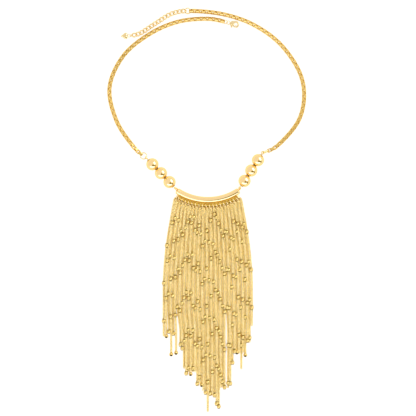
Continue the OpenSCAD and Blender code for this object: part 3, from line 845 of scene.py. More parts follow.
# ---------------------------------------------------------------- geometry nodes
class PointTree:
    """Geometry Nodes tree that lays a piece at every vertex of a mesh.

    Each vertex carries its turn as Euler angles in the attribute "turn".
    """

    NAME = ""
    # Name, kind and default of each input after the points
    INPUTS: tuple = ()
    LENGTHS: frozenset = frozenset()

    def __init__(self) -> None:
        """Makes the tree with its named inputs and fills it."""
        self.tree = bpy.data.node_groups.new(self.NAME, "GeometryNodeTree")
        sockets = self.tree.interface
        sockets.new_socket("Points", in_out="INPUT", socket_type="NodeSocketGeometry")
        self.ids = {}
        for name, kind, value in self.INPUTS:
            socket = sockets.new_socket(name, in_out="INPUT", socket_type="NodeSocket" + kind)
            if value is not None:
                socket.default_value = value
            self.ids[name] = socket.identifier
        sockets.new_socket("Laid", in_out="OUTPUT", socket_type="NodeSocketGeometry")
        given = add_node(self.tree, "NodeGroupInput").outputs
        add_node(self.tree, "NodeGroupOutput", links={0: self._fill(self.tree, given)})

    def _fill(self, tree: bpy.types.NodeTree, given: bpy.types.NodeOutputs) -> bpy.types.Node:
        """Adds the nodes between the tree's inputs and its output.

        Args:
            tree: the tree.
            given: its inputs' sockets.

        Returns:
            The last node.
        """
        raise NotImplementedError

    def lay(self, name: str, places: list[Matrix], values: dict) -> bpy.types.Object:
        """Lays the piece at each place and keeps the result as a plain mesh.

        Args:
            name: the new object's name.
            places: matrices in millimetres.
            values: the tree's inputs by name, lengths in millimetres.

        Returns:
            The mesh object, at the origin, with no modifier.
        """
        points = bpy.data.meshes.new(name + "_points")
        points.from_pydata([tuple(m.translation * MM) for m in places], [], [])
        turn = points.attributes.new("turn", "FLOAT_VECTOR", "POINT")
        turn.data.foreach_set("vector", [a for m in places for a in m.to_euler("XYZ")])
        made = add_object(name, points)
        modifier = made.modifiers.new("layout", "NODES")
        modifier.node_group = self.tree
        for key, value in values.items():
            modifier[self.ids[key]] = value * MM if key in self.LENGTHS else value
        mesh = modified_mesh(made)
        mesh.name = name
        made.modifiers.remove(modifier)
        made.data = mesh
        bpy.data.meshes.remove(points)
        used = {face.material_index for face in mesh.polygons}
        for i in reversed(range(len(mesh.materials))):
            if i not in used:
                mesh.materials.pop(index=i)
        bm = bmesh.new()
        bm.from_mesh(mesh)
        bmesh.ops.recalc_face_normals(bm, faces=bm.faces)
        bm.to_mesh(mesh)
        bm.free()
        return made


class LinkTree(PointTree):
    """Tree that makes one wire link, oval or square, and lays it at every vertex."""

    NAME = "wire_links_on_points"
    INPUTS = (("Length", "Float", 2.0), ("Width", "Float", 1.0), ("Square", "Bool", False),
              ("Corner", "Float", 0.2), ("Corner Points", "Int", 3), ("Stations", "Int", 12),
              ("Wire Width", "Float", 0.4), ("Wire Depth", "Float", 0.4),
              ("Wire Corner", "Float", 0.19), ("Wire Points", "Int", 1), ("Twist", "Float", 0.0),
              ("Wobble", "Float", 0.0), ("Seed", "Int", 7), ("Gold", "Material", None))
    LENGTHS = frozenset({"Length", "Width", "Corner", "Wire Width", "Wire Depth", "Wire Corner"})
    # Corner of a round wire's profile as a share of its width
    ROUND = 0.49

    def _fill(self, tree: bpy.types.NodeTree, given: bpy.types.NodeOutputs) -> bpy.types.Node:
        """Adds the link's path and wire, the random wobble and the laying.

        Args:
            tree: the tree.
            given: its inputs' sockets.

        Returns:
            The last node.
        """
        half_l, half_w = (
            add_node(tree, "ShaderNodeMath", {"operation": "MULTIPLY", "in:1": 0.5},
                     {0: given[side]}) for side in ("Length", "Width"))
        size = add_node(tree, "ShaderNodeCombineXYZ", {"in:Z": 1.0}, {"X": half_l, "Y": half_w})
        oval = add_node(tree, "GeometryNodeCurvePrimitiveCircle", {"in:Radius": 1.0},
                        {"Resolution": given["Stations"]})
        oval = add_node(tree, "GeometryNodeTransform", links={"Geometry": oval, "Scale": size})
        square, wire = (
            add_node(tree, "GeometryNodeFilletCurve", {"mode": "POLY", "in:Limit Radius": True},
                     {"Curve": add_node(tree, "GeometryNodeCurvePrimitiveQuadrilateral",
                                        links={"Width": given[width], "Height": given[height]}),
                      "Radius": given[corner], "Count": given[points]})
            for width, height, corner, points in (
                ("Length", "Width", "Corner", "Corner Points"),
                ("Wire Width", "Wire Depth", "Wire Corner", "Wire Points")))
        path = add_node(tree, "GeometryNodeSwitch", {"input_type": "GEOMETRY"},
                        {"Switch": given["Square"], "False": oval, "True": square})
        place = add_node(tree, "GeometryNodeInputPosition")
        x = add_node(tree, "ShaderNodeSeparateXYZ", links={0: place})
        share = add_node(tree, "ShaderNodeMath", {"operation": "DIVIDE"}, {0: x, 1: half_l})
        angle = add_node(tree, "ShaderNodeMath", {"operation": "MULTIPLY"},
                         {0: share, 1: given["Twist"]})
        turned = add_node(tree, "ShaderNodeVectorRotate", {"rotation_type": "X_AXIS"},
                          {"Vector": place, "Angle": angle})
        path = add_node(tree, "GeometryNodeSetPosition",
                        links={"Geometry": path, "Position": turned})
        link = add_node(tree, "GeometryNodeCurveToMesh",
                        links={"Curve": path, "Profile Curve": wire})
        turn = add_node(tree, "GeometryNodeInputNamedAttribute",
                        {"data_type": "FLOAT_VECTOR", "in:Name": "turn"})
        low = add_node(tree, "ShaderNodeMath", {"operation": "MULTIPLY", "in:1": -1.0},
                       {0: given["Wobble"]})
        chance = add_node(tree, "FunctionNodeRandomValue", {"data_type": "FLOAT"},
                          {2: low, 3: given["Wobble"], "Seed": given["Seed"]})
        wobble = add_node(tree, "ShaderNodeCombineXYZ", links={"X": chance.outputs[1]})
        turn = add_node(tree, "ShaderNodeVectorMath", {"operation": "ADD"}, {0: turn, 1: wobble})
        turn = add_node(tree, "FunctionNodeEulerToRotation", links={0: turn})
        laid = add_node(tree, "GeometryNodeInstanceOnPoints",
                        links={"Points": given["Points"], "Instance": link, "Rotation": turn})
        real = add_node(tree, "GeometryNodeRealizeInstances", links={0: laid})
        smooth = add_node(tree, "GeometryNodeSetShadeSmooth", links={"Geometry": real})
        return add_node(tree, "GeometryNodeSetMaterial",
                        links={"Geometry": smooth, "Material": given["Gold"]})

    def lay_oval(self, name: str, places: list[Matrix], size: tuple[float, float], wire: float,
                 values: dict) -> bpy.types.Object:
        """Lays oval links of round wire.

        Args:
            name: the new object's name.
            places: matrices in millimetres.
            size: length and width between the middles of the wire.
            wire: the wire's diameter.
            values: further inputs by name.

        Returns:
            The mesh object.
        """
        return self.lay(name, places, {
            "Length": size[0], "Width": size[1], "Wire Width": wire, "Wire Depth": wire,
            "Wire Corner": wire * self.ROUND, **values})


class BeadTree(PointTree):
    """Tree that lays a drilled bead at every vertex, its hole and collars in a darker finish of
    painted shade.
    """

    NAME = "drilled_beads_on_points"
    INPUTS = (("Bead", "Object", None), ("Size", "Float", 1.0), ("Gold", "Material", None),
              ("Bore", "Material", None))

    def _fill(self, tree: bpy.types.NodeTree, given: bpy.types.NodeOutputs) -> bpy.types.Node:
        """Adds the laying, the ball's finish and the hole's.

        Args:
            tree: the tree.
            given: its inputs' sockets.

        Returns:
            The last node.
        """
        bead = add_node(tree, "GeometryNodeObjectInfo", links={"Object": given["Bead"]})
        turn = add_node(tree, "GeometryNodeInputNamedAttribute",
                        {"data_type": "FLOAT_VECTOR", "in:Name": "turn"})
        turn = add_node(tree, "FunctionNodeEulerToRotation", links={0: turn})
        laid = add_node(tree, "GeometryNodeInstanceOnPoints",
                        links={"Points": given["Points"], "Instance": bead.outputs["Geometry"],
                               "Rotation": turn, "Scale": given["Size"]})
        real = add_node(tree, "GeometryNodeRealizeInstances", links={0: laid})
        gold = add_node(tree, "GeometryNodeSetMaterial",
                        links={"Geometry": real, "Material": given["Gold"]})
        inside = add_node(tree, "GeometryNodeInputNamedAttribute",
                          {"data_type": "BOOLEAN", "in:Name": "bore"})
        return add_node(tree, "GeometryNodeSetMaterial",
                        links={"Geometry": gold, "Selection": inside, "Material": given["Bore"]})


# ---------------------------------------------------------------- sub-assemblies
@dataclass
class Bar:
    """The curved tube with its coned ends and loops, and the rail soldered under it."""

    layout: Layout
    palette: Palette
    tube_sides: int = 64
    tube_steps: int = 96
    loop_sides: int = 14
    loop_steps: int = 40
    loop_roll: float = 45.0
    rail_sides: int = 28
    rail_steps: int = 80
    # The strips of painted shade in the gaps above and below the rail
    backing_sides: int = 12
    backing_in: float = 0.25
    backing_z: float = 2.1
    backing_flat: float = 0.3
    backing_reach: float = 0.32
    backing_low_z: float = 1.72
    # The coned end: distance past the tube's end and share of the tube's radius
    cone: tuple = ((0.05, 0.985), (0.12, 0.94), (0.3, 0.83), (0.68, 0.58), (0.77, 0.5),
                   (0.8, 0.42))
    # The post: its root as a share of the tube's radius, the straight part, and its rounded end
    # as distance below the top and share of its radius
    post_root: float = 0.5
    post_sides: int = 32
    post_steps: int = 5
    post_round: float = 0.25
    post_end: tuple = ((0.12, 0.97), (0.04, 0.88), (0.0, 0.7))

    def _arc(self, radius: float, half_angle: float, steps: int) -> np.ndarray:
        """Returns points on an arc about the middle of the bar's arc."""
        angles = np.linspace(-half_angle, half_angle, steps)
        return np.array([self.layout.on_arc(radius, a) for a in angles])

    def _tube(self) -> Shell:
        """Makes the tube with its cones.

        Returns:
            Its closed shell.
        """
        lay = self.layout
        path = list(self._arc(lay.arc_r, lay.arc_a, self.tube_steps))
        radii = [lay.bar_r] * len(path)
        # Each end is added last, and then the line is turned round
        for sign in (1, -1):
            end = lay.on_arc(lay.arc_r, sign * lay.arc_a)
            out = np.array([sign, 1, 0]) * np.append(unit(lay.arc_a), 0)
            path = [*path, *(end + out * far for far, _ in self.cone)][::-1]
            radii = [*radii, *(lay.bar_r * share for _, share in self.cone)][::-1]
        return sweep(np.array(path), np.array(radii), self.tube_sides)

    def _post(self, sign: int) -> Shell:
        """Makes one of the posts that join the rail to the tube.

        Args:
            sign: -1 for the left post and 1 for the right one.

        Returns:
            Its closed shell.
        """
        lay, z = self.layout, self.layout.z
        low, high = lay.arc_r + lay.bar_r * self.post_root, lay.rail_r + z.rail_d / 2
        reach = list(np.linspace(low, high - self.post_round, self.post_steps))
        reach += [high - under for under, _ in self.post_end]
        shares = [1.0] * self.post_steps + [share for _, share in self.post_end]
        path = np.array([lay.on_arc(r, sign * lay.rail_a) for r in reach])
        return sweep(path, np.array(shares) * z.post_d / 2, self.post_sides)

    def _strip(self, name: str, inner: float, outer: float, height: float, gold: Gold) -> None:
        """Makes a flat strip that follows the rail.

        Args:
            name: the piece's name.
            inner: the radius of its edge towards the tube.
            outer: the radius of its other edge.
            height: the height of its middle.
            gold: its finish.
        """
        path = self._arc((inner + outer) / 2, self.layout.rail_a, self.rail_steps)
        path[:, 2] = height
        verts, faces = sweep(path, (outer - inner) / 2, self.backing_sides)
        verts[:, 2] = height + (verts[:, 2] - height) * self.backing_flat
        settle(mesh_object(name, (verts, faces), self.palette.get(gold)), "gold", BODY)

    def _backing(self) -> None:
        """Makes the strips low in the gaps above and below the rail: painted shade, dark lines
        where the gaps lie in shade.
        """
        lay, rail = self.layout, self.layout.z.rail_d / 2
        self._strip("tarnished_backing_strip", lay.arc_r + lay.bar_r - self.backing_in,
                    lay.rail_r - rail + self.backing_in, self.backing_z, Gold.TARNISH)
        self._strip("tarnished_lower_strip", lay.rail_r + rail - self.backing_in,
                    lay.head_r + self.backing_reach, self.backing_low_z, Gold.COLLAR)

    def build(self) -> None:
        """Makes the bar, its rail and the strips of painted shade."""
        lay, z = self.layout, self.layout.z
        loop = sweep(circle(lay.eye_mid, self.loop_steps), z.pin_wire / 2, self.loop_sides, True)
        shells = [self._tube(), self._post(-1), self._post(1)]
        for side in Side:
            at = lay.from_loop(side, 0, lay.bar_z, -lay.slope_a, self.loop_roll)
            shells.append(placed(loop, at))
        piece = mesh_object("curved_bar", join_shells(shells), self.palette.get(Gold.MIRROR))
        settle(piece, "gold", BODY, "bar")
        path = self._arc(lay.rail_r, lay.rail_a, self.rail_steps)
        # The rail takes the deeper gold that paints the shade under the tube.
        rail = mesh_object("fringe_rail", sweep(path, z.rail_d / 2, self.rail_sides),
                           self.palette.get(Gold.RAIL))
        settle(rail, "gold", BODY, "bar")
        self._backing()


@dataclass
class Balls:
    """The six drilled balls."""

    layout: Layout
    palette: Palette
    arc_points: int = 40
    sides: int = 64
    collar: float = 3.0

    def build(self) -> None:
        """Makes each ball in the place of its solid."""
        lay, z = self.layout, self.layout.z
        ball = drilled_ball(z.ball_d, z.ball_bore, self.arc_points, self.sides, self.collar)
        inner = bore_faces(ball, z.ball_bore, self.collar)
        for side in Side:
            for i in range(z.ball_count):
                s = lay.slope_run + z.ball_d / 2 + i * lay.ball_step
                node = f"ball_{side.name.lower()}_{i + 1}"
                piece = mesh_object("polished_" + node,
                                    placed(ball, lay.from_loop(side, s, lay.ball_z)),
                                    self.palette.get(Gold.MIRROR))
                # The faces of the hole and its collar take the painted olive shade, for the shade
                # in the gap between touching balls.
                piece.data.materials.append(self.palette.get(Gold.COLLAR))
                for face in inner:
                    piece.data.polygons[face].material_index = 1
                settle(piece, "pale_gold", BODY, node)


@dataclass
class NeckChains:
    """The two halves of rounded box chain.

    The first links turn from the jump ring's roll to the chain's own, in fewer links than in the
    solids, and the metal is thicker and narrower, so that no light shows through.
    """

    layout: Layout
    palette: Palette
    links: LinkTree
    metal: float = 0.5
    link_len: float = 3.85
    link_w: float = 2.84
    strip: float = 1.83
    corner: float = 0.6
    corner_points: int = 3
    edge: float = 0.05
    edge_points: int = 2
    roll: float = 45.0
    turn_links: int = 5

    def _places(self, side: Side) -> list[Matrix]:
        """Works out where each link lies, a quarter turn from its neighbours.

        Args:
            side: the half.

        Returns:
            The links' places.
        """
        lay, z = self.layout, self.layout.z
        first = z.jump_roll_left if side is Side.LEFT else z.jump_roll_right
        places = []
        for i in range(lay.links[side]):
            left = max(0.0, 1 - i / self.turn_links)
            roll = (first - self.roll) * left + 90 * i - self.roll
            height = lay.chain_z + (lay.far_z - lay.chain_z) * left
            places.append(lay.along(side, lay.chain_s + i * lay.link_step, height, roll))
        return places

    def build(self) -> None:
        """Lays the links of both halves."""
        for side in Side:
            node = f"neck_chain_{side.name.lower()}"
            piece = self.links.lay("box_" + node, self._places(side), {
                "Length": self.link_len - self.metal, "Width": self.link_w - self.metal,
                "Square": True, "Corner": self.corner, "Corner Points": self.corner_points,
                "Wire Width": self.metal, "Wire Depth": self.strip, "Wire Corner": self.edge,
                "Wire Points": self.edge_points, "Gold": self.palette.get(Gold.BOX)})
            settle(piece, "gold", BODY, node)


@dataclass
class Extender:
    """The curb chain and its puffed heart."""

    layout: Layout
    palette: Palette
    links: LinkTree
    wire: float = 0.95
    stations: int = 32
    wire_points: int = 2
    twist: float = 45.0
    rise_links: int = 4
    # The heart: its outline's points, the levels of one face and how they bulge
    outline: int = 72
    rings: int = 9
    first_ring: float = 0.12
    bulge: float = 2.6
    smooth_deg: float = 60.0
    # The lobes' radius as a share of the width, and as shares of that radius the heart's middle
    # ahead of the lobes' middles and the wedge's back behind them
    lobe: float = 0.28
    middle: float = 0.35
    back: float = 0.2
    # The radii that are tried for the outline
    least: float = 0.2
    tries: int = 200
    # The soldered loop, and its stub as reach, share of the loop's height and share of the wire
    loop_steps: int = 36
    loop_sides: int = 12
    stub_reach: float = 0.4
    stub_heights: tuple = (1.0, 0.8, 0.4)
    stub_thick: float = 0.6

    def _chain(self) -> None:
        """Lays the curb links."""
        lay, z = self.layout, self.layout.z
        places = []
        for i in range(z.curb_count):
            left = max(0.0, 1 - i / self.rise_links)
            height = lay.curb_z + (lay.ext_ring_z - lay.curb_z) * left
            places.append(lay.along(Side.RIGHT, lay.curb_s + i * lay.curb_step, height))
        size = z.curb_len - z.curb_wire, z.curb_w - z.curb_wire
        piece = self.links.lay_oval("curb_extender_chain", places, size, self.wire, {
            "Stations": self.stations, "Wire Points": self.wire_points,
            "Twist": math.radians(self.twist) * lay.right_hand,
            "Gold": self.palette.get(Gold.PALE)})
        settle(piece, "gold", BODY, "extender_chain")

    def _edge(self, lobe_x: float, lobe_r: float, middle: float) -> list[tuple[float, float]]:
        """Works out the heart's outline.

        Args:
            lobe_x: how far the lobes' middles are from the loop's.
            lobe_r: the lobes' radius.
            middle: how far the heart's middle is from the loop's.

        Returns:
            Points about the heart's middle.
        """
        z = self.layout.z
        lobe_y = z.heart_w / 2 - lobe_r
        tip_x = z.heart_in / 2 + z.heart_stem + z.heart_len
        back_x = lobe_x - lobe_r * self.back
        reach = math.hypot(tip_x - lobe_x, lobe_y)
        lean = math.atan2(lobe_y, tip_x - lobe_x) + math.asin(lobe_r / reach)
        touch = lobe_x + lobe_r * math.sin(lean), lobe_y + lobe_r * math.cos(lean)
        wedge = [(tip_x, 0.0), touch, (back_x, lobe_y), (back_x, 0.0)]

        def inside(x: float, y: float) -> bool:
            """Says whether a point of the upper half lies in the lobe or in the wedge."""
            return math.hypot(x - lobe_x, y - lobe_y) <= lobe_r or all(
                (b[0] - a[0]) * (y - a[1]) - (b[1] - a[1]) * (x - a[0]) >= 0
                for a, b in zip(wedge, wedge[1:]))

        edge = []
        for i in range(self.outline):
            a = 2 * math.pi * i / self.outline
            x, y = math.cos(a), math.sin(a)
            far = max(r for r in np.linspace(self.least, z.heart_len, self.tries)
                      if inside(middle + x * r, abs(y) * r))
            edge.append((far * x, far * y))
        return edge

    def _heart(self) -> None:
        """Makes the puffed heart with its soldered loop."""
        lay, z = self.layout, self.layout.z
        lobe_r, half = z.heart_w * self.lobe, z.heart_t / 2
        lobe_x = z.heart_in / 2 + z.heart_stem + lobe_r
        middle = lobe_x + lobe_r * self.middle
        edge = self._edge(lobe_x, lobe_r, middle)
        shares = np.sin(np.linspace(self.first_ring, math.pi / 2, self.rings))[:-1]
        face = [(s, half * (1 - s ** self.bulge) ** 0.5) for s in shares]
        levels = face + [(1.0, 0.0)] + [(s, -h) for s, h in reversed(face)]
        verts = [(middle + x * s, y * s, h) for s, h in levels for x, y in edge]
        verts += [(middle, 0, half), (middle, 0, -half)]
        faces = skin(len(levels), self.outline) + fans(len(levels), self.outline)
        mid, rise = (z.heart_in + z.heart_wire) / 2, lay.heart_ring_z - half
        loop = sweep(circle(mid, self.loop_steps, rise), z.heart_wire / 2, self.loop_sides, True)
        bends = zip((mid, mid + self.stub_reach, lobe_x), self.stub_heights)
        stub = sweep(np.array([(x, 0.0, rise * share) for x, share in bends]),
                     z.heart_wire * self.stub_thick, self.loop_sides)
        shell = placed(join_shells([(np.array(verts), faces), loop, stub]),
                       lay.along(Side.RIGHT, lay.heart_s, half))
        piece = mesh_object("puffed_heart", shell, self.palette.get(Gold.PALE), self.smooth_deg)
        settle(piece, "pale_gold", BODY, "heart_drop")

    def build(self) -> None:
        """Makes the chain and the heart."""
        self._chain()
        self._heart()


@dataclass
class Clasp:
    """The lobster clasp: cast body and sprung lever, with the soft edges of a casting."""

    layout: Layout
    palette: Palette
    # The nose's slanted tip: degrees round the hook's middle at its root, outer and inner corner
    nose_from: float = -66
    nose_tip: float = -87
    nose_heel: float = -74
    nose_steps: int = 8
    voxel: float = 0.09
    same_point: float = 0.0005
    soften: float = 0.5
    body_passes: int = 26
    lever_passes: int = 10

    def _nose(self) -> Shell:
        """Makes the slanted tip that closes the hook's mouth over the lever's finger.

        Returns:
            Its closed shell.
        """
        z, n = self.layout.z, 2 * self.nose_steps
        outer, half = z.clasp_w / 2, z.clasp_t / 2
        middle = np.array([z.clasp_len - z.tail_d / 2 - outer, 0.0])
        outline = [middle + radius * unit(a)
                   for radius, first, last in ((outer, self.nose_from, self.nose_tip),
                                               (outer - z.hook_w, self.nose_heel, self.nose_from))
                   for a in np.linspace(first, last, self.nose_steps)]
        verts = np.array([(x, y, h) for h in (-half, half) for x, y in outline])
        faces = skin(2, n) + [tuple(reversed(range(n))), tuple(range(n, 2 * n))]
        return placed((verts, faces), self.layout.along(Side.LEFT, self.layout.clasp_s, half))

    def _cast(self, name: str, node: str, passes: int,
              extra: Shell | None = None) -> bpy.types.Object:
        """Makes a copy of a solid's mesh with its edges worn round.

        Args:
            name: the new object's name.
            node: the CAD node to copy.
            passes: how often the surface is smoothed.
            extra: a closed shell in millimetres that is cast on, or none.

        Returns:
            The new object, with no modifier left on it.
        """
        mesh = frame["nodes"][node].data.copy()
        bm = bmesh.new()
        bm.from_mesh(mesh)
        bmesh.ops.remove_doubles(bm, verts=bm.verts, dist=self.same_point * MM)
        if extra:
            corners = [bm.verts.new(v * MM) for v in extra[0]]
            added = [bm.faces.new([corners[i] for i in face]) for face in extra[1]]
            bmesh.ops.recalc_face_normals(bm, faces=added)
        bm.to_mesh(mesh)
        bm.free()
        mesh.materials.clear()
        made = add_object(name, mesh)
        cells = made.modifiers.new("cells", "REMESH")
        cells.mode = "VOXEL"
        cells.voxel_size = self.voxel * MM
        soft = made.modifiers.new("soft", "SMOOTH")
        soft.factor = self.soften
        soft.iterations = passes
        done = modified_mesh(made)
        made.modifiers.clear()
        made.data = done
        done.materials.clear()
        done.materials.append(self.palette.get(Gold.PALE))
        for face in done.polygons:
            face.use_smooth = True
        return made

    def build(self) -> None:
        """Makes the body and the lever."""
        body = self._cast("cast_clasp_body", "clasp_body", self.body_passes, self._nose())
        settle(body, "pale_gold", BODY, "clasp_body")
        lever = self._cast("sprung_clasp_lever", "clasp_lever", self.lever_passes)
        settle(lever, "gold", "clasp_lever", "clasp_lever")


@dataclass
class Fringe:
    """Forty strands of fine trace chain with drilled beads, hung from rings on the rail."""

    layout: Layout
    palette: Palette
    links: LinkTree
    beads: BeadTree
    groups: int = 3
    link_len: float = 2.15
    link_w: float = 1.85
    link_wire: float = 0.52
    link_play: float = 0.03
    link_stations: int = 10
    link_twist: float = 42.0
    link_wobble: float = 5.0
    # The slow roll of a strand: degrees, wave length, and from strand to strand in radians
    sway: float = 28.0
    sway_len: float = 46.0
    sway_shift: float = 2.4
    # Path points lie this far apart, and directions are taken over twice this length
    path_step: float = 0.5
    bead_d: float = 3.15
    bead_points: int = 9
    bead_sides: int = 16
    bore: float = 0.7
    collar: float = 2.2
    end_bore: float = 1.7
    end_tilt: float = 52.0
    # Links whose middle is this near to a bead's are left out
    bead_hides: float = 0.35
    # Rise of the lower strands, sink of the upper ones, and how the lower ones lift at a bead
    low_rise: float = 0.8
    high_drop: float = 0.3
    bead_lift: float = 0.9
    bead_lift_reach: float = 2.5
    top_reach: float = 0.35
    top_step: float = 1.0
    top_squeeze: float = 0.965
    rod_steps: int = 90
    rod_sides: int = 14
    ring_wire: float = 0.75
    ring_stations: int = 40
    ring_points: int = 2
    ring_lean: float = 24.0
    small_wire: float = 0.35
    small_stations: int = 16
    small_points: int = 1
    small_out: float = 0.12

    @staticmethod
    def _ease(share: float) -> float:
        """Returns a share that rises fast at first and then settles."""
        return math.sin(math.pi / 2 * min(max(share, 0.0), 1.0))

    @staticmethod
    def _smooth(share: float) -> float:
        """Returns a share that starts and ends gently."""
        return (1 - math.cos(math.pi * min(max(share, 0.0), 1.0))) / 2

    def _top(self, k: int) -> float:
        """Returns the angle on the bar's arc from which a strand hangs, in degrees."""
        return (k - (len(STRANDS) - 1) / 2) * self.layout.strand_step * self.top_squeeze

    def _level(self, k: int, down: float) -> float:
        """Works out a strand's height once it has come down; every other strand lies lower.

        Args:
            k: the strand.
            down: the distance below the bar's middle.

        Returns:
            The height in millimetres.
        """
        lay, gap = self.layout, self.layout.z.bead_gap
        if k % 2:
            return lay.high_z - self.high_drop
        beads = (STRANDS[k].first + n for n in range(STRANDS[k].beads))
        near = max(math.exp(-((down / gap - bead) * gap / self.bead_lift_reach) ** 2)
                   for bead in beads)
        return lay.low_z + self.low_rise + self.bead_lift * near

    def _point(self, k: int, down: float) -> np.ndarray:
        """Works out the middle of a strand.

        Args:
            k: the strand.
            down: the distance below the bar's middle.

        Returns:
            The point in millimetres.
        """
        lay, z = self.layout, self.layout.z
        a, half = math.radians(self._top(k)), z.fringe_w / 2
        x0 = lay.neck_r * math.sin(a)
        fall = down - lay.neck_r * math.cos(a) + lay.arc_r
        even = 2 * k / (len(STRANDS) - 1) - 1
        parting = (STRANDS[k].tip - even) * self._smooth((down - z.part_top) / z.part_len)
        x = x0 + (even * half - x0) * self._ease(fall / z.fan_len) + parting * half
        height = lay.bar_z + (self._level(k, down) - lay.bar_z) * self._ease(fall / z.drop_len)
        return np.array([x, -down, height]) + lay.shift

    def _path(self, k: int) -> Line:
        """Works out the line of a strand from its small ring to its tip.

        Args:
            k: the strand.

        Returns:
            The line.
        """
        lay, step = self.layout, self.path_step
        a = self._top(k)
        rise = np.array([0, 0, self.top_step * (k % 2 - 0.5)])
        top = [lay.on_arc(lay.head_r - self.top_reach, a) + rise, lay.on_arc(lay.neck_r, a) + rise]
        begin = lay.neck_r * math.cos(math.radians(a)) - lay.arc_r
        end = lay.z.bead_gap * STRANDS[k].end
        downs = [*np.arange(begin + step, end, step), end]
        return Line(np.array(top + [self._point(k, down) for down in downs]))

    def _bead_places(self, k: int) -> list[Matrix]:
        """Works out where a strand's beads sit, their holes along the strand.

        Args:
            k: the strand.

        Returns:
            The beads' places.
        """
        places = []
        for n in range(STRANDS[k].beads):
            down = self.layout.z.bead_gap * (STRANDS[k].first + n)
            p, q = (self._point(k, down + e) for e in (-self.path_step, self.path_step))
            places.append(stand(*((p + q) / 2), heading_of(q - p)))
        return places

    def _strand_links(self, k: int) -> list[Matrix]:
        """Works out where a strand's curb links lie; the strand rolls slowly to and fro.

        Args:
            k: the strand.

        Returns:
            The links' places, without those that a bead hides.
        """
        path, half = self._path(k), self.link_len / 2
        pitch = self.link_len - 2 * self.link_wire - self.link_play
        hidden = [m.translation for m in self._bead_places(k)]
        places = []
        for i in range(int((path.length - 2 * half) / pitch) + 1):
            s = half + i * pitch
            p, q = path.at(s - self.path_step), path.at(s + self.path_step)
            middle, step = (p + q) / 2, (q - p) / np.linalg.norm(q - p)
            if any((Vector(middle) - bead).length < self.bead_hides for bead in hidden):
                continue
            roll = self.sway * math.sin(2 * math.pi * s / self.sway_len + self.sway_shift * k)
            places.append(stand(*middle, heading_of(step), -math.degrees(math.asin(step[2])), roll))
        return places

    def _across(self, radius: float, angle: float, lean: float = 0.0) -> Matrix:
        """Returns the place of a ring that stands across the rail, at an angle of the bar's arc."""
        at = stand(*self.layout.on_arc(radius, angle), angle + lean)
        return at @ Matrix.Rotation(math.pi / 2, 4, "Y")

    def _rings(self) -> None:
        """Lays the rings on the rail."""
        lay, z = self.layout, self.layout.z
        size = lay.ring_in + z.ring_wire
        places = [self._across(lay.ring_r, -lay.ring_a + i * lay.ring_step, self.ring_lean)
                  for i in range(z.ring_count)]
        piece = self.links.lay_oval("fringe_rings_round", places, (size, size), self.ring_wire, {
            "Stations": self.ring_stations, "Wire Points": self.ring_points,
            "Gold": self.palette.get(Gold.PALE)})
        settle(piece, "pale_gold", BODY, "fringe_rings")

    def _head(self) -> None:
        """Makes the thin rod through the rings and a small ring on it for each strand."""
        lay = self.layout
        angles = np.linspace(-lay.head_a, lay.head_a, self.rod_steps) * self.top_squeeze
        path = np.array([lay.on_arc(lay.head_r, a) for a in angles])
        # The rod and the small rings take the deeper gold that paints the shade under the rail.
        rod = mesh_object("fringe_head_rod", sweep(path, lay.head_d / 2, self.rod_sides),
                          self.palette.get(Gold.RAIL))
        settle(rod, "gold", BODY, "fringe")
        size = lay.head_d + 2 * self.small_wire
        places = [self._across(lay.head_r + self.small_out, self._top(k))
                  for k in range(len(STRANDS))]
        piece = self.links.lay_oval("fringe_hanging_rings", places, (size, size), self.small_wire, {
            "Stations": self.small_stations, "Wire Points": self.small_points,
            "Gold": self.palette.get(Gold.RAIL)})
        settle(piece, "gold", BODY, "fringe")

    def _strands(self) -> None:
        """Lays the strands' links in a few groups."""
        wire = self.link_wire
        per_group = math.ceil(len(STRANDS) / self.groups)
        for g in range(self.groups):
            own = range(g * per_group, min((g + 1) * per_group, len(STRANDS)))
            places = [m for k in own for m in self._strand_links(k)]
            piece = self.links.lay(f"fringe_strands_{g + 1}", places, {
                "Length": self.link_len - wire, "Width": self.link_w - wire,
                "Stations": self.link_stations, "Wire Width": wire, "Wire Depth": wire,
                "Wire Corner": 0.0, "Wire Points": 1, "Twist": math.radians(self.link_twist),
                "Wobble": math.radians(self.link_wobble), "Gold": self.palette.get(Gold.WIRE)})
            settle(piece, "gold", BODY, "fringe")

    def build(self) -> None:
        """Makes the rings, the rod, the strands and the beads."""
        self._rings()
        self._head()
        self._strands()
        strung, ends = [], []
        for k in range(len(STRANDS)):
            places = self._bead_places(k)
            if k in OPEN_ENDS:
                tilt = Matrix.Rotation(math.radians(-self.end_tilt), 4, "Y")
                ends.append(places.pop() @ tilt)
            strung += places
        # The collars and the end beads' holes take painted shade: dark spots at each bead's ends
        # and a dark dot in each open hole.
        self._lay_beads("fringe_beads", strung, self.bore, self.collar, Gold.COLLAR)
        self._lay_beads("fringe_end_beads", ends, self.end_bore, 0.0, Gold.BORE)

    def _lay_beads(self, name: str, places: list[Matrix], bore: float, collar: float,
                   dark: Gold) -> None:
        """Lays beads of one kind.

        Args:
            name: the piece's name.
            places: where the beads sit, in millimetres.
            bore: the hole's diameter in millimetres.
            collar: the diameter of the collars round the hole's ends, or 0 for none.
            dark: the painted-shade finish of the hole and its collars.
        """
        ball = drilled_ball(self.bead_d, bore, self.bead_points, self.bead_sides, collar)
        pattern = mesh_object("bead_pattern", ball, self.palette.get(Gold.MIRROR))
        inner = pattern.data.attributes.new("bore", "BOOLEAN", "FACE")
        for face in bore_faces(ball, bore, collar):
            inner.data[face].value = True
        beads = self.beads.lay(name, places, {
            "Bead": pattern, "Size": 1.0, "Gold": self.palette.get(Gold.BEAD),
            "Bore": self.palette.get(dark)})
        settle(beads, "gold", BODY, "fringe")
        bpy.data.objects.remove(pattern)


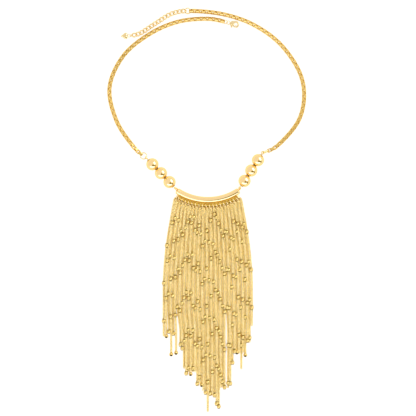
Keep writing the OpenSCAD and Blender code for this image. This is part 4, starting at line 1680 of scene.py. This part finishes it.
@dataclass
class Studio:
    """A light table in a white tent with two soft boxes, and the camera above."""

    layout: Layout
    px: float = 0.785
    image: int = 416
    lens: float = 110.0
    sensor: float = 36.0
    photo_x: float = 207.8
    photo_y: float = 200.0
    # Lights: name, degrees off the vertical and round from +X, distance, width and height in
    # metres, radiance and colour
    boxes: tuple = (
        ("softbox_right", 48.0, 30.0, 1.0, 0.8, 0.5, 4.0, "#DCE6FF"),
        ("softbox_front", 55.0, -90.0, 1.0, 1.9, 0.55, 2.3, "#BCCCFF"))
    # The tent's colour and radiance; the dark slit's colour, middle, the axis square to it, and
    # its half length, half width and softness in degrees
    tent: str = "#F4F2FF"
    tent_radiance: float = 1.1
    slit: str = "#827826"
    slit_middle: tuple = (46.0, -38.0)
    slit_axis: tuple = (77.0, 57.4)
    slit_half: float = 36.0
    slit_width: float = 17.0
    slit_soft: float = 6.0
    # The light table: half its width in metres, its squares a side, and its top's height in mm
    floor_half: float = 1.5
    floor_squares: int = 4
    floor_z: float = -0.05

    def _camera(self) -> None:
        """Puts the camera straight above the middle of the photo's frame."""
        data = bpy.data.cameras.new("camera_above")
        data.lens, data.sensor_width = self.lens, self.sensor
        x = (self.image / 2 - self.photo_x) * self.px + self.layout.shift[0]
        y = (self.photo_y - self.image / 2) * self.px + self.layout.shift[1]
        high = self.image * self.px * self.lens / self.sensor
        camera = add_object("camera_above", data)
        camera.location = (x * MM, y * MM, high * MM)
        bpy.context.scene.camera = camera

    def _world(self) -> None:
        """Makes the tent: bright and even, with the warm dark slit that the camera looks in by."""
        world = bpy.data.worlds.new("light_tent")
        bpy.context.scene.world = world
        world.use_nodes = True
        tree = world.node_tree
        tree.nodes.clear()
        place = add_node(tree, "ShaderNodeTexCoord").outputs["Generated"]
        shares = []
        for towards, curve, half, both_sides in (
                (self.slit_middle, math.cos, self.slit_half, False),
                (self.slit_axis, math.sin, self.slit_width, True)):
            near = add_node(tree, "ShaderNodeVectorMath",
                            {"operation": "DOT_PRODUCT", "in:1": self._towards(*towards)},
                            {0: place}).outputs["Value"]
            if both_sides:
                near = add_node(tree, "ShaderNodeMath", {"operation": "ABSOLUTE"}, {0: near})
            outside, inside = (curve(math.radians(half + e))
                               for e in (self.slit_soft, -self.slit_soft))
            shares.append(add_node(tree, "ShaderNodeMapRange",
                                   {"interpolation_type": "SMOOTHSTEP", "in:From Min": outside,
                                    "in:From Max": inside}, {0: near}))
        share = add_node(tree, "ShaderNodeMath", {"operation": "MULTIPLY"},
                         {0: shares[0], 1: shares[1]})
        colour = add_node(tree, "ShaderNodeMix", {"data_type": "RGBA", "in:6": linear(self.tent),
                                                  "in:7": linear(self.slit)}, {0: share})
        back = add_node(tree, "ShaderNodeBackground", {"in:Strength": self.tent_radiance},
                        {"Color": colour.outputs[2]})
        add_node(tree, "ShaderNodeOutputWorld", links={"Surface": back})

    @staticmethod
    def _towards(off: float, round_x: float) -> Vector:
        """Returns the unit direction at angles off the vertical and round from +X, in degrees."""
        a, b = math.radians(off), math.radians(round_x)
        return Vector((math.sin(a) * math.cos(b), math.sin(a) * math.sin(b), math.cos(a)))

    def _lights(self) -> None:
        """Hangs the soft boxes, all facing the necklace."""
        for name, off, round_x, far, width, height, radiance, colour in self.boxes:
            data = bpy.data.lights.new(name, "AREA")
            data.shape = "RECTANGLE"
            data.size, data.size_y = width, height
            data.energy = radiance * math.pi * width * height
            data.color = linear(colour)[:3]
            light = add_object(name, data)
            light.location = self._towards(off, round_x) * far
            light.rotation_euler = (-light.location).to_track_quat("-Z", "Y").to_euler()

    def _paper(self) -> None:
        """Lays the light table's white sheet."""
        bm = bmesh.new()
        bmesh.ops.create_grid(bm, x_segments=self.floor_squares, y_segments=self.floor_squares,
                              size=self.floor_half)
        for vert in bm.verts:
            vert.co.z = self.floor_z * MM
        mesh = bpy.data.meshes.new("paper")
        bm.to_mesh(mesh)
        bm.free()
        mesh.materials.append(FloorFinish().build())
        paper = add_object("paper", mesh)

    def build(self) -> None:
        """Makes the camera, the tent, the lights and the light table."""
        self._camera()
        self._world()
        self._lights()
        self._paper()
        bpy.context.scene.view_settings.view_transform = "Standard"


def dress_nodes(palette: Palette, finishes: dict[str, Gold]) -> None:
    """Gives the solids that stay in view their finish.

    Args:
        palette: where the finishes come from.
        finishes: finish by node name.
    """
    for node, gold in finishes.items():
        solid = frame["nodes"][node]
        if not solid.material_slots:
            solid.data.materials.append(None)
        for slot in solid.material_slots:
            slot.material = palette.get(gold)
        for face in solid.data.polygons:
            face.use_smooth = True
        solid.data.set_sharp_from_angle(angle=math.radians(SHARP_DEG))
        LOG.info("%s keeps its solid", node)


def main() -> None:
    """Builds the studio and then each sub-assembly in order."""
    logging.basicConfig(level=logging.INFO, format="%(name)s %(message)s")
    layout = Layout(Sizes())
    palette = Palette()
    links = LinkTree()
    Studio(layout).build()
    Bar(layout, palette).build()
    Balls(layout, palette).build()
    NeckChains(layout, palette, links).build()
    Extender(layout, palette, links).build()
    Clasp(layout, palette).build()
    Fringe(layout, palette, links, BeadTree()).build()
    dress_nodes(palette, {
        "ball_wire_left": Gold.WIRE, "ball_wire_right": Gold.WIRE, "jump_ring_left": Gold.PALE,
        "jump_ring_right": Gold.WIRE, "clasp_ring": Gold.PALE, "clasp_pin": Gold.WIRE,
        "extender_ring": Gold.PALE, "heart_ring": Gold.PALE})


if __name__ == "__main__":
    main()
